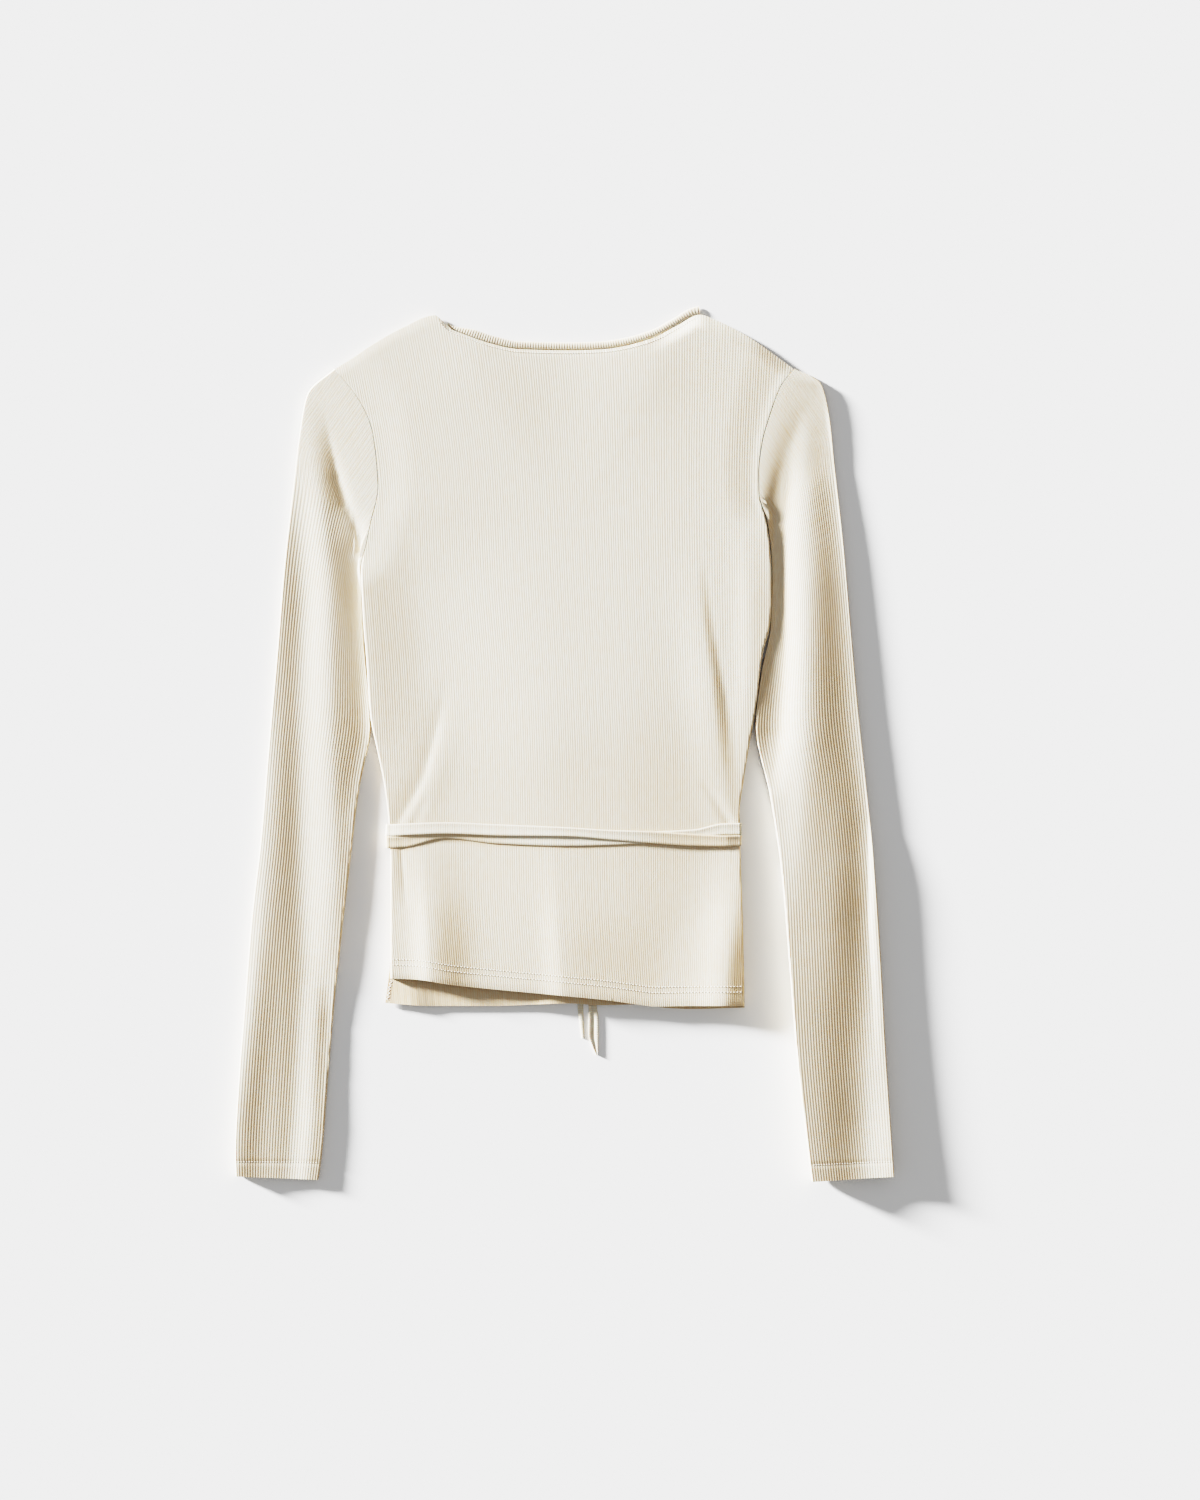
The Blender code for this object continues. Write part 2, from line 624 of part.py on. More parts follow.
def build_wrap_band(collection, name, neck, end, rows_to, base_z):
    """Binding along a straight wrap edge, as thick as its front, down to height rows_to."""
    rise = neck[1] - SHOULDER_Y
    heights = [row.y + row.top * rise for row in BODY_ROWS if row.y >= rows_to]
    edge = [(wrap_x(neck, end, y), y) for y in heights]
    away = 1.0 if end[0] > neck[0] else -1.0
    lines = [offset_line(edge, away * d) for d in (GAP, GAP + BAND_WIDTH)]
    under = [[(x, y, base_z + lift(x, edge[i][1])) for i, (x, y) in enumerate(line)]
             for line in lines]
    over = [[(x, y, z + CLOTH) for x, y, z in line] for line in under]
    shares = plain_columns(len(edge) - 1)
    bm = bmesh.new()
    close_wall(bm, loft(bm, over), shares, loft(bm, under), shares)
    return add_piece(collection, name, bm)


# ---- ties ---------------------------------------------------------------------------------

# One place along a tie: x and z of the face on the garment, the way out of that face, and
# the tie's upper and lower edge.
TiePlace = namedtuple("TiePlace", "x z out_x out_z high low")


def crossing_at(x):
    """The crossing table read at x."""
    for a, b in zip(TIE_CROSSING, TIE_CROSSING[1:]):
        if x <= b.x:
            t = (x - a.x) / (b.x - a.x)
            return Crossing(*(lerp(p, q, t) for p, q in zip(a, b)))
    return TIE_CROSSING[-1]


def back_top(x):
    """Height of the pressed cloth under the ties."""
    return back_base(x, WAIST_ROWS[0]) + CLOTH + RIB_RISE + GAP


def tie_on_back(which):
    """Places of a tie across the back, from the left side to the right."""
    stops = sorted({c.x for c in TIE_CROSSING} | set(LIFT_COLUMNS))
    places = []
    for x in stops:
        c = crossing_at(x)
        high, low = (c.a_high, c.a_low) if which == "a" else (c.b_high, c.b_low)
        over = c.over * (TIE_WALL + GAP) if which == "a" else 0.0
        places.append(TiePlace(x, back_top(x) + over, 0.0, 1.0, high, low))
    return places


def tie_beneath(x, z, at):
    """A place under the garment, with the edges of another place."""
    return TiePlace(x, z, 0.0, -1.0, at.high, at.low)


def tie_round_side(face_x, top, beneath_z):
    """Bends of a tie from its last place on the back, down the side and to the underside."""
    out = -1.0 if face_x < 0.0 else 1.0
    return [
        TiePlace(face_x, top.z - TIE_CORNER, out, 1.0, top.high, top.low),
        TiePlace(face_x, beneath_z + TIE_CORNER, out, -1.0, top.high, top.low),
        tie_beneath(face_x - out * TIE_TURN, beneath_z, top),
    ]


def build_tie(collection, name, places):
    """A strip with square edges through its places."""
    sections = []
    for p in places:
        outer = (p.x + p.out_x * TIE_WALL, p.z + p.out_z * TIE_WALL)
        sections.append([
            (p.x, p.high, p.z), (p.x, p.low, p.z),
            (outer[0], p.low, outer[1]), (outer[0], p.high, outer[1]),
        ])
    bm = bmesh.new()
    rings = loft(bm, sections, closed=True)
    bm.faces.new(rings[0])
    bm.faces.new(rings[-1])
    return add_piece(collection, name, bm)


def build_tie_a(collection):
    """From the outer front round the left side, over the back, round the right side and
    beneath the fronts to the knot."""
    across = tie_on_back("a")
    root_z = TIE_LIFT + CLOTH
    root = tie_beneath(TIE_ROOT_X, root_z, across[0])
    left = tie_round_side(LEFT_SIDE_X, across[0], root_z)[::-1]
    right = tie_round_side(RIGHT_SIDE_X, across[-1], TIE_WALL)
    knot = tie_beneath(KNOT_HIGH[0] + GAP, TIE_WALL, across[-1])
    build_tie(collection, "tie_a", [root, *left, *across, *right, knot])


def build_tie_b(collection):
    """From the right side seam over the back, round the left side and beneath the fronts to
    the knot."""
    across = tie_on_back("b")
    last = across[-1]
    knot = tie_beneath(KNOT_LOW[0] - GAP, TIE_WALL, across[0])
    left = tie_round_side(LEFT_SIDE_X, across[0], TIE_WALL)[::-1]
    corner = tie_round_side(RIGHT_SIDE_X, last, TIE_WALL)[0]
    seam = TiePlace(RIGHT_SIDE_X, 2.0 * LAYER + TIE_LIFT, 1.0, 0.0, last.high, last.low)
    build_tie(collection, "tie_b", [knot, *left, *across, corner, seam])


def build_tie_end(collection, name, table):
    under = [[(row.left, row.y, 0.0), (row.right, row.y, 0.0)] for row in table]
    over = [[(x, y, TIE_WALL) for x, y, _ in row] for row in under]
    bm = bmesh.new()
    close_wall(bm, loft(bm, over), [0.0, 1.0], loft(bm, under), [0.0, 1.0])
    return add_piece(collection, name, bm)


def build_knot(collection):
    size = [high - low for low, high in zip(KNOT_LOW, KNOT_HIGH)]
    centre = [lerp(low, high, 0.5) for low, high in zip(KNOT_LOW, KNOT_HIGH)]
    bm = bmesh.new()
    bmesh.ops.create_cube(bm, size=MM)
    bmesh.ops.scale(bm, vec=size, verts=bm.verts)
    bmesh.ops.translate(bm, vec=[c * MM for c in centre], verts=bm.verts)
    knot = add_piece(collection, "knot", bm)
    bevel = knot.modifiers.new("rounded", "BEVEL")
    bevel.width = KNOT_BEVEL * MM
    bevel.segments = 2
    return knot


def main():
    for old in list(bpy.data.objects):
        bpy.data.objects.remove(old, do_unlink=True)
    collection = bpy.data.collections.new("wrap_top")
    bpy.context.scene.collection.children.link(collection)
    build_back(collection)
    build_front_inner(collection)
    build_front_outer(collection)
    build_sleeve(collection, "left", LEFT_SLEEVE, LEFT_SLEEVE_FOLDS)
    build_sleeve(collection, "right", RIGHT_SLEEVE, RIGHT_SLEEVE_FOLDS)
    build_neckband_back(collection)
    last_wrap_row = WAIST_ROWS[0]
    build_wrap_band(collection, "neckband_inner", NECK_LEFT, WRAP_END_RIGHT, last_wrap_row, LAYER)
    build_wrap_band(collection, "neckband_outer", NECK_RIGHT, WRAP_END_LEFT, last_wrap_row, 0.0)
    build_tie_a(collection)
    build_tie_b(collection)
    build_knot(collection)
    build_tie_end(collection, "tie_end_a", TIE_END_A)
    build_tie_end(collection, "tie_end_b", TIE_END_B)


main()
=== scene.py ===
"""Looks of the wrap top: every panel, sleeve, tie and binding as a ribbed knit shell over its
solid, the sewing on it, the pale floor, the low light from the upper left and the camera.

Lengths are millimetres until a mesh is made, where MM turns them into metres. Those of the
shaders and the stage are metres.
"""
import math
from collections import namedtuple
from functools import partial

import bpy
import numpy as np
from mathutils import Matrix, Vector


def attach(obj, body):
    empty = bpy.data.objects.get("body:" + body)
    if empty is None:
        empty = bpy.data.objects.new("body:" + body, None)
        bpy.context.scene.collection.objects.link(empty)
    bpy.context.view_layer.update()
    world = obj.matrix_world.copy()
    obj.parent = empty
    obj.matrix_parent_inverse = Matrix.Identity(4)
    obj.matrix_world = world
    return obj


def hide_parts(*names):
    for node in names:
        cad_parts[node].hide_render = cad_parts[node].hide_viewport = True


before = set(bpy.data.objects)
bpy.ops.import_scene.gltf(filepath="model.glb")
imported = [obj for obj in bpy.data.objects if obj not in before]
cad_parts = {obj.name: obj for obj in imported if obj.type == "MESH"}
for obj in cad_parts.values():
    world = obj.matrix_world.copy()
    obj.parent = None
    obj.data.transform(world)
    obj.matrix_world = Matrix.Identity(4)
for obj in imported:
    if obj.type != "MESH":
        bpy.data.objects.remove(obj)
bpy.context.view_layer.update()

MM = 0.001

# ---- sizes ----

CLOTH = 1.2
GAP = 0.3
LAYER = CLOTH + GAP
SIDE_GAP = 0.15  # between a sleeve and the body's side, less than in the solids
SEAM_GAP = 0.1  # and at the armhole
TIE_WALL = 1.5
BAND_WIDTH = 6.4
SHOULDER_Y = 300.0
HEM_Y = -186.8
NECK_LEFT = (-102.4, 342.8)
NECK_RIGHT = (109.6, 343.6)
WRAP_END_LEFT = (-129.0, -52.0)
WRAP_END_RIGHT = (121.0, -52.0)
NECK_SAG = 1.2
NECK_SAG_WIDTH = 75.0
TIE_LIFT = TIE_WALL + GAP
KNOT_LIFT = 1.5
LIFT_ROWS = (-165.0, -98.0, -46.0, -22.0)
LIFT_COLUMNS = (-28.0, -4.0, 44.0, 68.0)
BACK_LIFT_ROWS = (-200.0, -98.0, -46.0, 230.0)  # the back spreads over what holds it up
BACK_LIFT_COLUMNS = (-95.0, -4.0, 44.0, 135.0)
UNDERARM = {"left": 139.0, "right": 180.0}
UNDERARM_BLEND = 12.0
AWAY = {"left": -1.0, "right": 1.0}  # way along x that leads out of the body

# The knit
RIB_COLUMNS = (0.0, 0.8, 1.0, 0.8)  # rise at the four columns of a rib, from its furrow on
RIB_RISE = 0.07
SLEEVE_RIB_RISE = 0.12  # also the depth of the furrows in both faces of the fronts
RIB_EDGE = 1.0  # ribs run out this far from an edge
INNER_STEP = 16  # columns of a ribbed face to one of the plain face under it

# Fullness
BODY_PUFF = 1.7
ARMHOLE_PUFF = 0.9
BODY_ROUNDING = {"left": 0.8, "right": 0.7}
ARMHOLE_ROUNDING = 30.0
SEAM_RIDGE = {"left": 0.0, "right": 0.22}  # the back rises to the armhole's seam
SEAM_RIDGE_WIDTH = 3.2
WAIST_PRESS = (-165.0, -92.0, -52.0, 45.0)
WAIST_PRESS_DEPTH = 0.5  # share of the puff that the belt takes away
SLEEVE_EDGE_Z = 1.0
SLEEVE_ROUNDING = {"left": (1.2, 0.8), "right": (0.8, 0.5)}  # at the outer and inner edge
EDGE_ROLL = 1.4  # width over which a wall thins to its edge
EDGE_THIN = 0.6  # share of the wall left at the very edge


def lerp(a, b, t):
    return a + (b - a) * t


def ease(t):
    t = np.clip(t, 0.0, 1.0)
    return t * t * (3.0 - 2.0 * t)


def quarter(t):
    """Quarter circle: 0 at 0 and 1 from 1 on, upright where it starts."""
    t = np.clip(t, 0.0, 1.0)
    return np.sqrt(1.0 - (1.0 - t) ** 2)


def between(t, start, end):
    """Eased share of the way from start to end."""
    return ease((t - start) / (end - start))


def plateau(t, corners):
    """Eased rise from the first corner to the second, and fall from the third to the last."""
    start, full, end_full, end = corners
    rise = (t - start) / (full - start)
    fall = (end - t) / (end - end_full)
    return ease(np.minimum(rise, fall))


def smooth_curve(points):
    """A function through (place, value) points that never overshoots them."""
    t, v = (np.array(column, float) for column in zip(*sorted(points)))
    h = np.diff(t)
    slope = np.diff(v) / h
    m = np.empty(len(t))
    m[0], m[-1] = slope[0], slope[-1]
    for i in range(1, len(t) - 1):
        before, after = slope[i - 1], slope[i]
        w1, w2 = 2.0 * h[i] + h[i - 1], h[i] + 2.0 * h[i - 1]
        m[i] = (w1 + w2) / (w1 / before + w2 / after) if before * after > 0.0 else 0.0

    def at(x):
        x = np.clip(x, t[0], t[-1])
        i = np.clip(np.searchsorted(t, x, side="right") - 1, 0, len(t) - 2)
        s = (x - t[i]) / h[i]
        low = v[i] * (1.0 + 2.0 * s) + m[i] * h[i] * s
        high = v[i + 1] * (3.0 - 2.0 * s) + m[i + 1] * h[i] * (s - 1.0)
        return low * (1.0 - s) ** 2 + high * s ** 2

    return at


# ---- outline ----

SIDE = {
    "left": smooth_curve((
        (300, -182.2), (290.8, -174.6), (280.5, -166.3), (269.4, -159.4), (259, -154.6),
        (246.8, -151.2), (220.6, -148.2), (205, -147.4), (195.8, -148.6), (180.6, -152.6),
        (161.3, -156.6), (139, -161.2), (100, -159.6), (70.8, -157.2), (23.6, -153.9),
        (-8.4, -147.5), (-34, -142.4), (-62, -139.2), (-98, -137.7), (-190, -137.7),
    )),
    "right": smooth_curve((
        (300, 184.4), (286, 173.6), (265.2, 165.6), (240.4, 158.6), (217.2, 156),
        (200.4, 156.2), (179.6, 162.2), (154.8, 165.6), (139, 166.6), (112, 166.6),
        (94, 165.2), (70.8, 159.4), (30, 154.4), (-0.4, 148.8), (-27.6, 144.6),
        (-55.6, 141), (-85.2, 141.8), (-154, 144.2), (-210, 145.2),
    )),
}
TOP_EDGE = smooth_curve((
    (-182.2, 300), (-168, 308.7), (-152.8, 318.8), (-127.2, 333.2), NECK_LEFT,
    (-91.2, 332.7), (-77.6, 327), (-56.4, 319.9), (-36.4, 315.8), (5.6, 314.8),
    (32, 315.6), (47.6, 317.8), (61.6, 321.2), (76, 326.3), (90.4, 334.2), NECK_RIGHT,
    (121.6, 339.6), (146.4, 326.8), (172, 309.2), (184.4, 300),
))
BACK_HEM = smooth_curve((
    (-137.6, HEM_Y), (-117.6, -187.6), (-88, -192), (-49.6, -196), (-10.4, -199.6),
    (36, -204.2), (56, -207), (75, -209.2), (94.5, -208.8), (145.2, -208.4),
))
INNER_HEM = smooth_curve((
    (-142.6, -206.6), (-103, -209), (-56, -209), (5.6, -206.8), (29.6, -208.2),
    (61, -207.6), (131, -208.6),
))
OUTER_HEM = smooth_curve((
    (-137, -204), (0, -204.5), (61, -206.5), (81, -210.5), (104, -211.5),
    (142.4, -210.4),
))
TOP_SHARE = smooth_curve((
    (SHOULDER_Y, 1), (281, 0.85), (259, 0.68), (208, 0.36), (180, 0.2),
    (139, 0.06), (95, 0), (0, 0),
))
HEM_START = -98.0  # rows of the body bend towards the hem from this height down

# Where ribs of the back lie at eight heights, counted from the middle one. They fan out
# towards the shoulders.
RibRow = namedtuple("RibRow", "y far_left left middle right far_right")
RIB_NUMBERS = (-96.0, -48.0, 0.0, 48.0, 96.0)
RIB_ROWS = [RibRow(*row) for row in (
    (348, -216, -124, -25, 76, 182),
    (284, -200, -112, -18, 77, 177),
    (212, -188, -101.5, -13, 77.5, 173.5),
    (132, -184, -97.5, -9, 79, 173),
    (52, -179, -90.5, -4.5, 82, 172.5),
    (-28, -175, -87.5, -1.5, 85, 172.5),
    (-108, -170.5, -86.5, 0, 85, 169),
    (-212, -161, -79.5, 6.5, 89, 162.5),
)]
RIB_COLUMN_CURVES = [smooth_curve([(row.y, row[i + 1]) for row in RIB_ROWS]) for i in range(5)]
BACK_RIBS = (-100, 100)


STRAYS = ((0.09, 1.9, 0.0), (0.05, 4.3, 1.0))  # amount, rate and start of two waves
RIB_BEYOND = 0.2  # ribs are followed this far past the last marks, in steps between marks


def stray(number):
    """How far a rib strays from even spacing, in ribs: knits are never quite regular."""
    return sum(amount * np.sin(rate * number + start) for amount, rate, start in STRAYS)


def rib_x(number, y):
    """Where rib number runs at height y of the back."""
    marks = np.array([curve(y) for curve in RIB_COLUMN_CURVES])
    step = RIB_NUMBERS[1] - RIB_NUMBERS[0]
    last = len(RIB_NUMBERS) - 1
    place = np.clip((number - RIB_NUMBERS[0]) / step, -RIB_BEYOND, last + RIB_BEYOND)
    i = np.clip(place.astype(int), 0, last - 1)
    s = place - i
    # A cubic with the mean slope at each mark keeps the spacing even from mark to mark
    slopes = np.gradient(marks, axis=0)
    a, b = np.take_along_axis(marks, i[None], 0)[0], np.take_along_axis(marks, i[None] + 1, 0)[0]
    ma = np.take_along_axis(slopes, i[None], 0)[0]
    mb = np.take_along_axis(slopes, i[None] + 1, 0)[0]
    inside = (a * (1 + 2 * s) + ma * s) * (1 - s) ** 2 + (b * (3 - 2 * s) + mb * (s - 1)) * s ** 2
    beyond = np.where(s < 0.0, a + ma * s, b + mb * (s - 1.0))
    return np.where((s < 0.0) | (s > 1.0), beyond, inside)


# Edges of both ties on the back, and where tie a lies over tie b
Crossing = namedtuple("Crossing", "x a_high a_low b_high b_low over")
TIE_CROSSING = [Crossing(*row) for row in (
    (-138.4, -63.6, -73.1, -73.4, -82.8, 0),
    (-126, -63, -72.4, -72.7, -82, 1),
    (-93.6, -62, -71.2, -65.2, -75, 1),
    (-52, -63.6, -72.6, -69.2, -79.2, 1),
    (5.6, -66.2, -73.4, -71.2, -81, 1),
    (38.4, -68.2, -76, -70.8, -80.2, 1),
    (71.2, -69.2, -78.8, -69.4, -78.6, 1),
    (104, -71.4, -81, -67.8, -77.2, 1),
    (128, -72.6, -81.4, -63, -72.3, 1),
    (140.4, -72.4, -80.8, -62.6, -72.1, 0),
)]
CROSSING_AT = {field: smooth_curve([(c.x, getattr(c, field)) for c in TIE_CROSSING])
               for field in ("a_high", "a_low", "b_high", "b_low", "over")}


# ---- folds ----

# A fold runs along its path of (x, y, rise) points: a trough where rise is below 0. west and
# east are its half widths to both sides, and a sharp fold comes to a crease.
SOFT, CREASE = 2.0, 1.25
Fold = namedtuple("Fold", "path west east sharp", defaults=(SOFT,))

BODY_FOLDS = (
    # shoulders and upper back
    Fold(((-60, 306, 0.6), (0, 292, 0.9), (60, 304, 0.8)), 40, 40),
    Fold(((-120, 186, 0), (-113, 130, -1.1), (-108, 70, -1.3), (-106, 15, -0.8),
          (-104, -20, 0)), 27, 50),
    Fold(((-152, 190, 0), (-162, 130, 0.6), (-159, 70, 0.6), (-155, 15, 0.4),
          (-146, -30, 0)), 12, 16),
    # above the belt, right
    Fold(((104, 150, 0), (110, 100, 0.6), (118, 44, 1.2), (123, 4, 1.3), (129, -44, 1.2),
          (134, -62, 0.8)), 17, 9),
    Fold(((111, 158, 0), (119, 94, -0.2), (130, 36, -0.2), (134, 0, 0)), 4, 4),
    Fold(((132, -62, -0.8), (121, -43, -0.6), (110, -28, 0)), 4, 4),
    Fold(((146, 178, 0), (149, 120, 0.6), (149, 60, 0.7), (146, 8, 0.5), (143, -30, 0.3),
          (139, -62, 0)), 9, 14),
    # above the belt, left
    Fold(((-134, -66, -1), (-122, -47, -1.3), (-112, -29, -1.2), (-105, -3, -0.8),
          (-98, 25, -0.4), (-93, 52, 0)), 9, 7, CREASE),
    Fold(((-124, -62, 0.6), (-113, -42, 0.9), (-103, -18, 0.7), (-96, 5, 0.4), (-90, 32, 0)),
         5, 13),
    Fold(((-118, -62, -0.5), (-112, -50, -0.4), (-106, -40, 0)), 4, 4),
    Fold(((-40, 40, 0), (-10, -10, 0.6), (10, -50, 0.6)), 45, 45),
    # below the belt
    Fold(((-129, -84, -0.9), (-127, -108, -0.9), (-125, -134, 0)), 5, 4, CREASE),
    Fold(((-109, -72, 0), (-109, -90, 1.4), (-107, -132, 2.7), (-104, -205, 2.8)), 12, 25),
    Fold(((-4, -72, 0), (-4, -92, 0.8), (-2, -140, 1.5), (2, -205, 2)), 13, 46),
    Fold(((138, -72, 0), (138, -90, 1.2), (133, -140, 2.2), (127, -208, 2.6)), 17, 14),
    Fold(((122, -135, 0), (112, -172, 0.9), (106, -208, 1.2)), 24, 40),
    Fold(((150, -90, 0), (152, -135, 1.8), (152, -208, 2.4)), 36, 30),
    Fold(((-140, -187, 1.6), (-90, -191, 1.5), (-60, -196, 1.2), (-20, -200, 0.5),
          (20, -203, 0)), 42, 42),
)
INNER_FRONT_FOLDS = (
    Fold(((-124, -165, 0), (-121, -188, 0.9), (-119, -208, 1.3)), 14, 12),
    Fold(((-22, -175, 0), (-16, -195, 1), (-12, -208, 1.2)), 17, 14),
)
# Low strip of the right sleeve beside the body, in the body's shadow
SHELF = Fold(((186, 278, 0), (184, 252, -0.6), (180, 228, -1.2), (178, 205, -2.1),
              (176, 180, -2.9), (175, 155, -3), (175, 131, -2.9), (176, 85, -2.8),
              (174, 45, -2.8), (171, 8, -2.8), (167, -22, -1.5), (166, -44, 0)), 18, 9)
SLEEVE_FOLDS = {
    "left": (
        Fold(((-189, 254, -0.2), (-184, 233, -0.8), (-179, 212, -1.5), (-173, 192, -1.7),
              (-166, 178, -1.5), (-162, 160, -1.1), (-160, 146, -0.5)), 7.5, 4.5, CREASE),
        Fold(((-203, 262, 0.2), (-197, 215, 0.9), (-192, 164, 1.1), (-188, 130, 1.1),
              (-187, 68, 1), (-186, 0, 1), (-184, -60, 0.9), (-182, -110, 0.9),
              (-185, -160, 0.3), (-190, -200, 0)), 12, 12),
        Fold(((-167, 150, -0.7), (-162, 128, -1.2), (-159, 68, -1.1), (-157, 4, -1.2),
              (-164, -40, -0.4), (-168, -60, 0)), 11, 6),
        Fold(((-211, 225, 0), (-210, 195, -0.6), (-208, 150, -1.2), (-207, 110, -1.5),
              (-209, 36, -1.4), (-209, -28, -1.3), (-208, -100, -1.3), (-206, -180, -1.2),
              (-210, -260, -1.1), (-214, -345, -0.8)), 14, 12),
        Fold(((-226, 30, 0), (-232, -40, 0.5), (-240, -140, 1), (-249, -220, 1.4),
              (-258, -290, 1.6), (-262, -345, 1.5)), 8, 15),
        Fold(((-190, -165, 0), (-187, -220, -1), (-190, -265, -0.5), (-192, -300, 0)),
             9, 9),
        Fold(((-199, -200, 0.2), (-202, -300, 0.8), (-206, -345, 0.8)), 9, 9),
    ),
    "right": (
        Fold(((205, 225, 0), (199, 195, 0.8), (197, 165, 1.2), (196, 131, 1.9),
              (195, 68, 2.2), (194, 4, 2.2), (192, -60, 1.2), (190, -110, 0.4),
              (190, -150, 0)), 14, 20),
        SHELF,
        Fold(((206, 278, 0), (211, 252, -1.2), (215, 225, -1.8), (218, 195, -2.1),
              (225, 131, -1.7), (231, 68, -1.6), (237, 4, -1.9), (243, -60, -2.5),
              (243, -140, -2), (246, -200, -0.8), (248, -260, 0)), 19, 4),
        Fold(((243, -100, 0), (241, -150, -0.8), (238, -220, -1.8), (240, -300, -2.9),
              (240, -348, -2.6)), 26, 20),
    ),
}


def fold_relief(folds, x, y):
    """Sum of the folds at the points x, y."""
    total = np.zeros_like(x)
    for fold in folds:
        nearest = np.full_like(x, np.inf)
        rise = np.zeros_like(x)
        side = np.zeros_like(x)
        for a, b in zip(fold.path, fold.path[1:]):
            run_x, run_y = b[0] - a[0], b[1] - a[1]
            along = ((x - a[0]) * run_x + (y - a[1]) * run_y) / (run_x ** 2 + run_y ** 2)
            t = np.clip(along, 0.0, 1.0)
            off_x, off_y = x - a[0] - t * run_x, y - a[1] - t * run_y
            distance = np.hypot(off_x, off_y)
            closer = distance < nearest
            nearest = np.where(closer, distance, nearest)
            rise = np.where(closer, lerp(a[2], b[2], t), rise)
            side = np.where(closer, off_x, side)
        width = np.where(side < 0.0, fold.west, fold.east)
        total += rise * np.exp(-(nearest / width) ** fold.sharp)
    return total


# ---- heights ----


def height_over_wrap(neck, end, x, y):
    """Distance of a point from a wrap edge, above 0 on the side of the open neck."""
    run_x, run_y = end[0] - neck[0], end[1] - neck[1]
    cross = run_x * (y - neck[1]) - run_y * (x - neck[0])
    return cross / math.hypot(run_x, run_y) * (1.0 if run_x > 0.0 else -1.0)


def lift(x, y, rows=LIFT_ROWS, columns=LIFT_COLUMNS):
    """How far the ties, the knot and the tie ends hold up a layer."""
    waist = plateau(y, rows)
    column = plateau(x, columns)
    below = waist + column - waist * column
    return TIE_LIFT * np.where(y > rows[1], waist, below) + KNOT_LIFT * waist * column


SHOULDER_ROLL = 11.0  # the right shoulder's edge rolls down over this width
SHOULDER_DROP = 0.8  # share of its height that it loses
SHOULDER_DROP_X = (58.0, 110.0)
SHOULDER_KEEP = 0.4  # share of the drop that ends again towards the armhole
SHOULDER_KEEP_X = (112.0, 157.0)


def shoulder_drop(x, y):
    """Share by which the back has come down to the table along the right shoulder's edge."""
    beside = between(x, *SHOULDER_DROP_X) * (1.0 - SHOULDER_KEEP * between(x, *SHOULDER_KEEP_X))
    return SHOULDER_DROP * beside * (1.0 - ease((TOP_EDGE(x) - y) / SHOULDER_ROLL))


def back_base(x, y):
    """Inner face of the pressed back: on both fronts, or on the table inside the neck."""
    over_left = height_over_wrap(NECK_LEFT, WRAP_END_RIGHT, x, y)
    over_right = height_over_wrap(NECK_RIGHT, WRAP_END_LEFT, x, y)
    sag = NECK_SAG
    for over in (over_left, over_right):
        sag = sag * ease(over / NECK_SAG_WIDTH)
    level = (2.0 * LAYER - sag) * (1.0 - shoulder_drop(x, y))
    return level + lift(x, y, BACK_LIFT_ROWS, BACK_LIFT_COLUMNS)


def side_insets(x, y, row_y):
    """For each side of the body, the distance inside it, and the share above its underarm."""
    for side, away in AWAY.items():
        pit = UNDERARM[side]
        above = between(y, pit - UNDERARM_BLEND, pit + UNDERARM_BLEND)
        yield side, away * (SIDE[side](row_y) - x), above


def body_puff(x, y, row_y):
    """How far the back stands off its pressed place, folds and all."""
    full = np.maximum(0.0, BODY_PUFF + fold_relief(BODY_FOLDS, x, y))
    seam = np.minimum(full, ARMHOLE_PUFF)
    puff = full
    ridge = 0.0
    for side, inset, above in side_insets(x, y, row_y):
        rolled = full * quarter(inset / BODY_ROUNDING[side])
        sewn = lerp(seam, full, ease(inset / ARMHOLE_ROUNDING))
        puff = np.minimum(puff, lerp(rolled, sewn, above))
        ridge = ridge + SEAM_RIDGE[side] * above * np.exp(-(inset / SEAM_RIDGE_WIDTH) ** 2)
    puff = puff * (1.0 - shoulder_drop(x, y))
    return puff * (1.0 - WAIST_PRESS_DEPTH * plateau(y, WAIST_PRESS)) + ridge


def edge_wall(inset):
    """Share of the wall's thickness left this far inside an edge."""
    return lerp(EDGE_THIN, 1.0, quarter(inset / EDGE_ROLL))


# ---- meshes ----

KEY_WAY = (0.903, -0.430)  # way the light travels over the table
FULL_SHADE = 0.13  # slope away from the light at which shaded cloth is warmest
SHARP_ANGLE = math.radians(50.0)  # rims steeper than this keep their own shading
TINY = 1e-4  # area of a grid's cell, in mm2, that counts as none
MERGE_DIGITS = 7  # points that agree to this digit of a metre are one


def turned_away(x, y, z):
    """How far a surface on a grid turns from the light: its fall along the light's way."""
    (x_row, x_col), (y_row, y_col), (z_row, z_col) = (np.gradient(a) for a in (x, y, z))
    cross = x_col * y_row - x_row * y_col
    flat = np.abs(cross) < TINY
    cross = np.where(flat, 1.0, cross)
    slope_x = (z_col * y_row - z_row * y_col) / cross
    slope_y = (z_row * x_col - z_col * x_row) / cross
    fall = -(slope_x * KEY_WAY[0] + slope_y * KEY_WAY[1])
    return np.where(flat, 0.0, np.clip(fall / FULL_SHADE, 0.0, 1.0))


def place_object(name, data):
    """Adds an object to the scene."""
    thing = bpy.data.objects.new(name, data)
    bpy.context.scene.collection.objects.link(thing)
    return thing


def closed(*grids):
    """Grids whose rows are rings, with each ring's first point repeated at its end."""
    return [np.hstack([grid, grid[:, :1]]) for grid in grids]


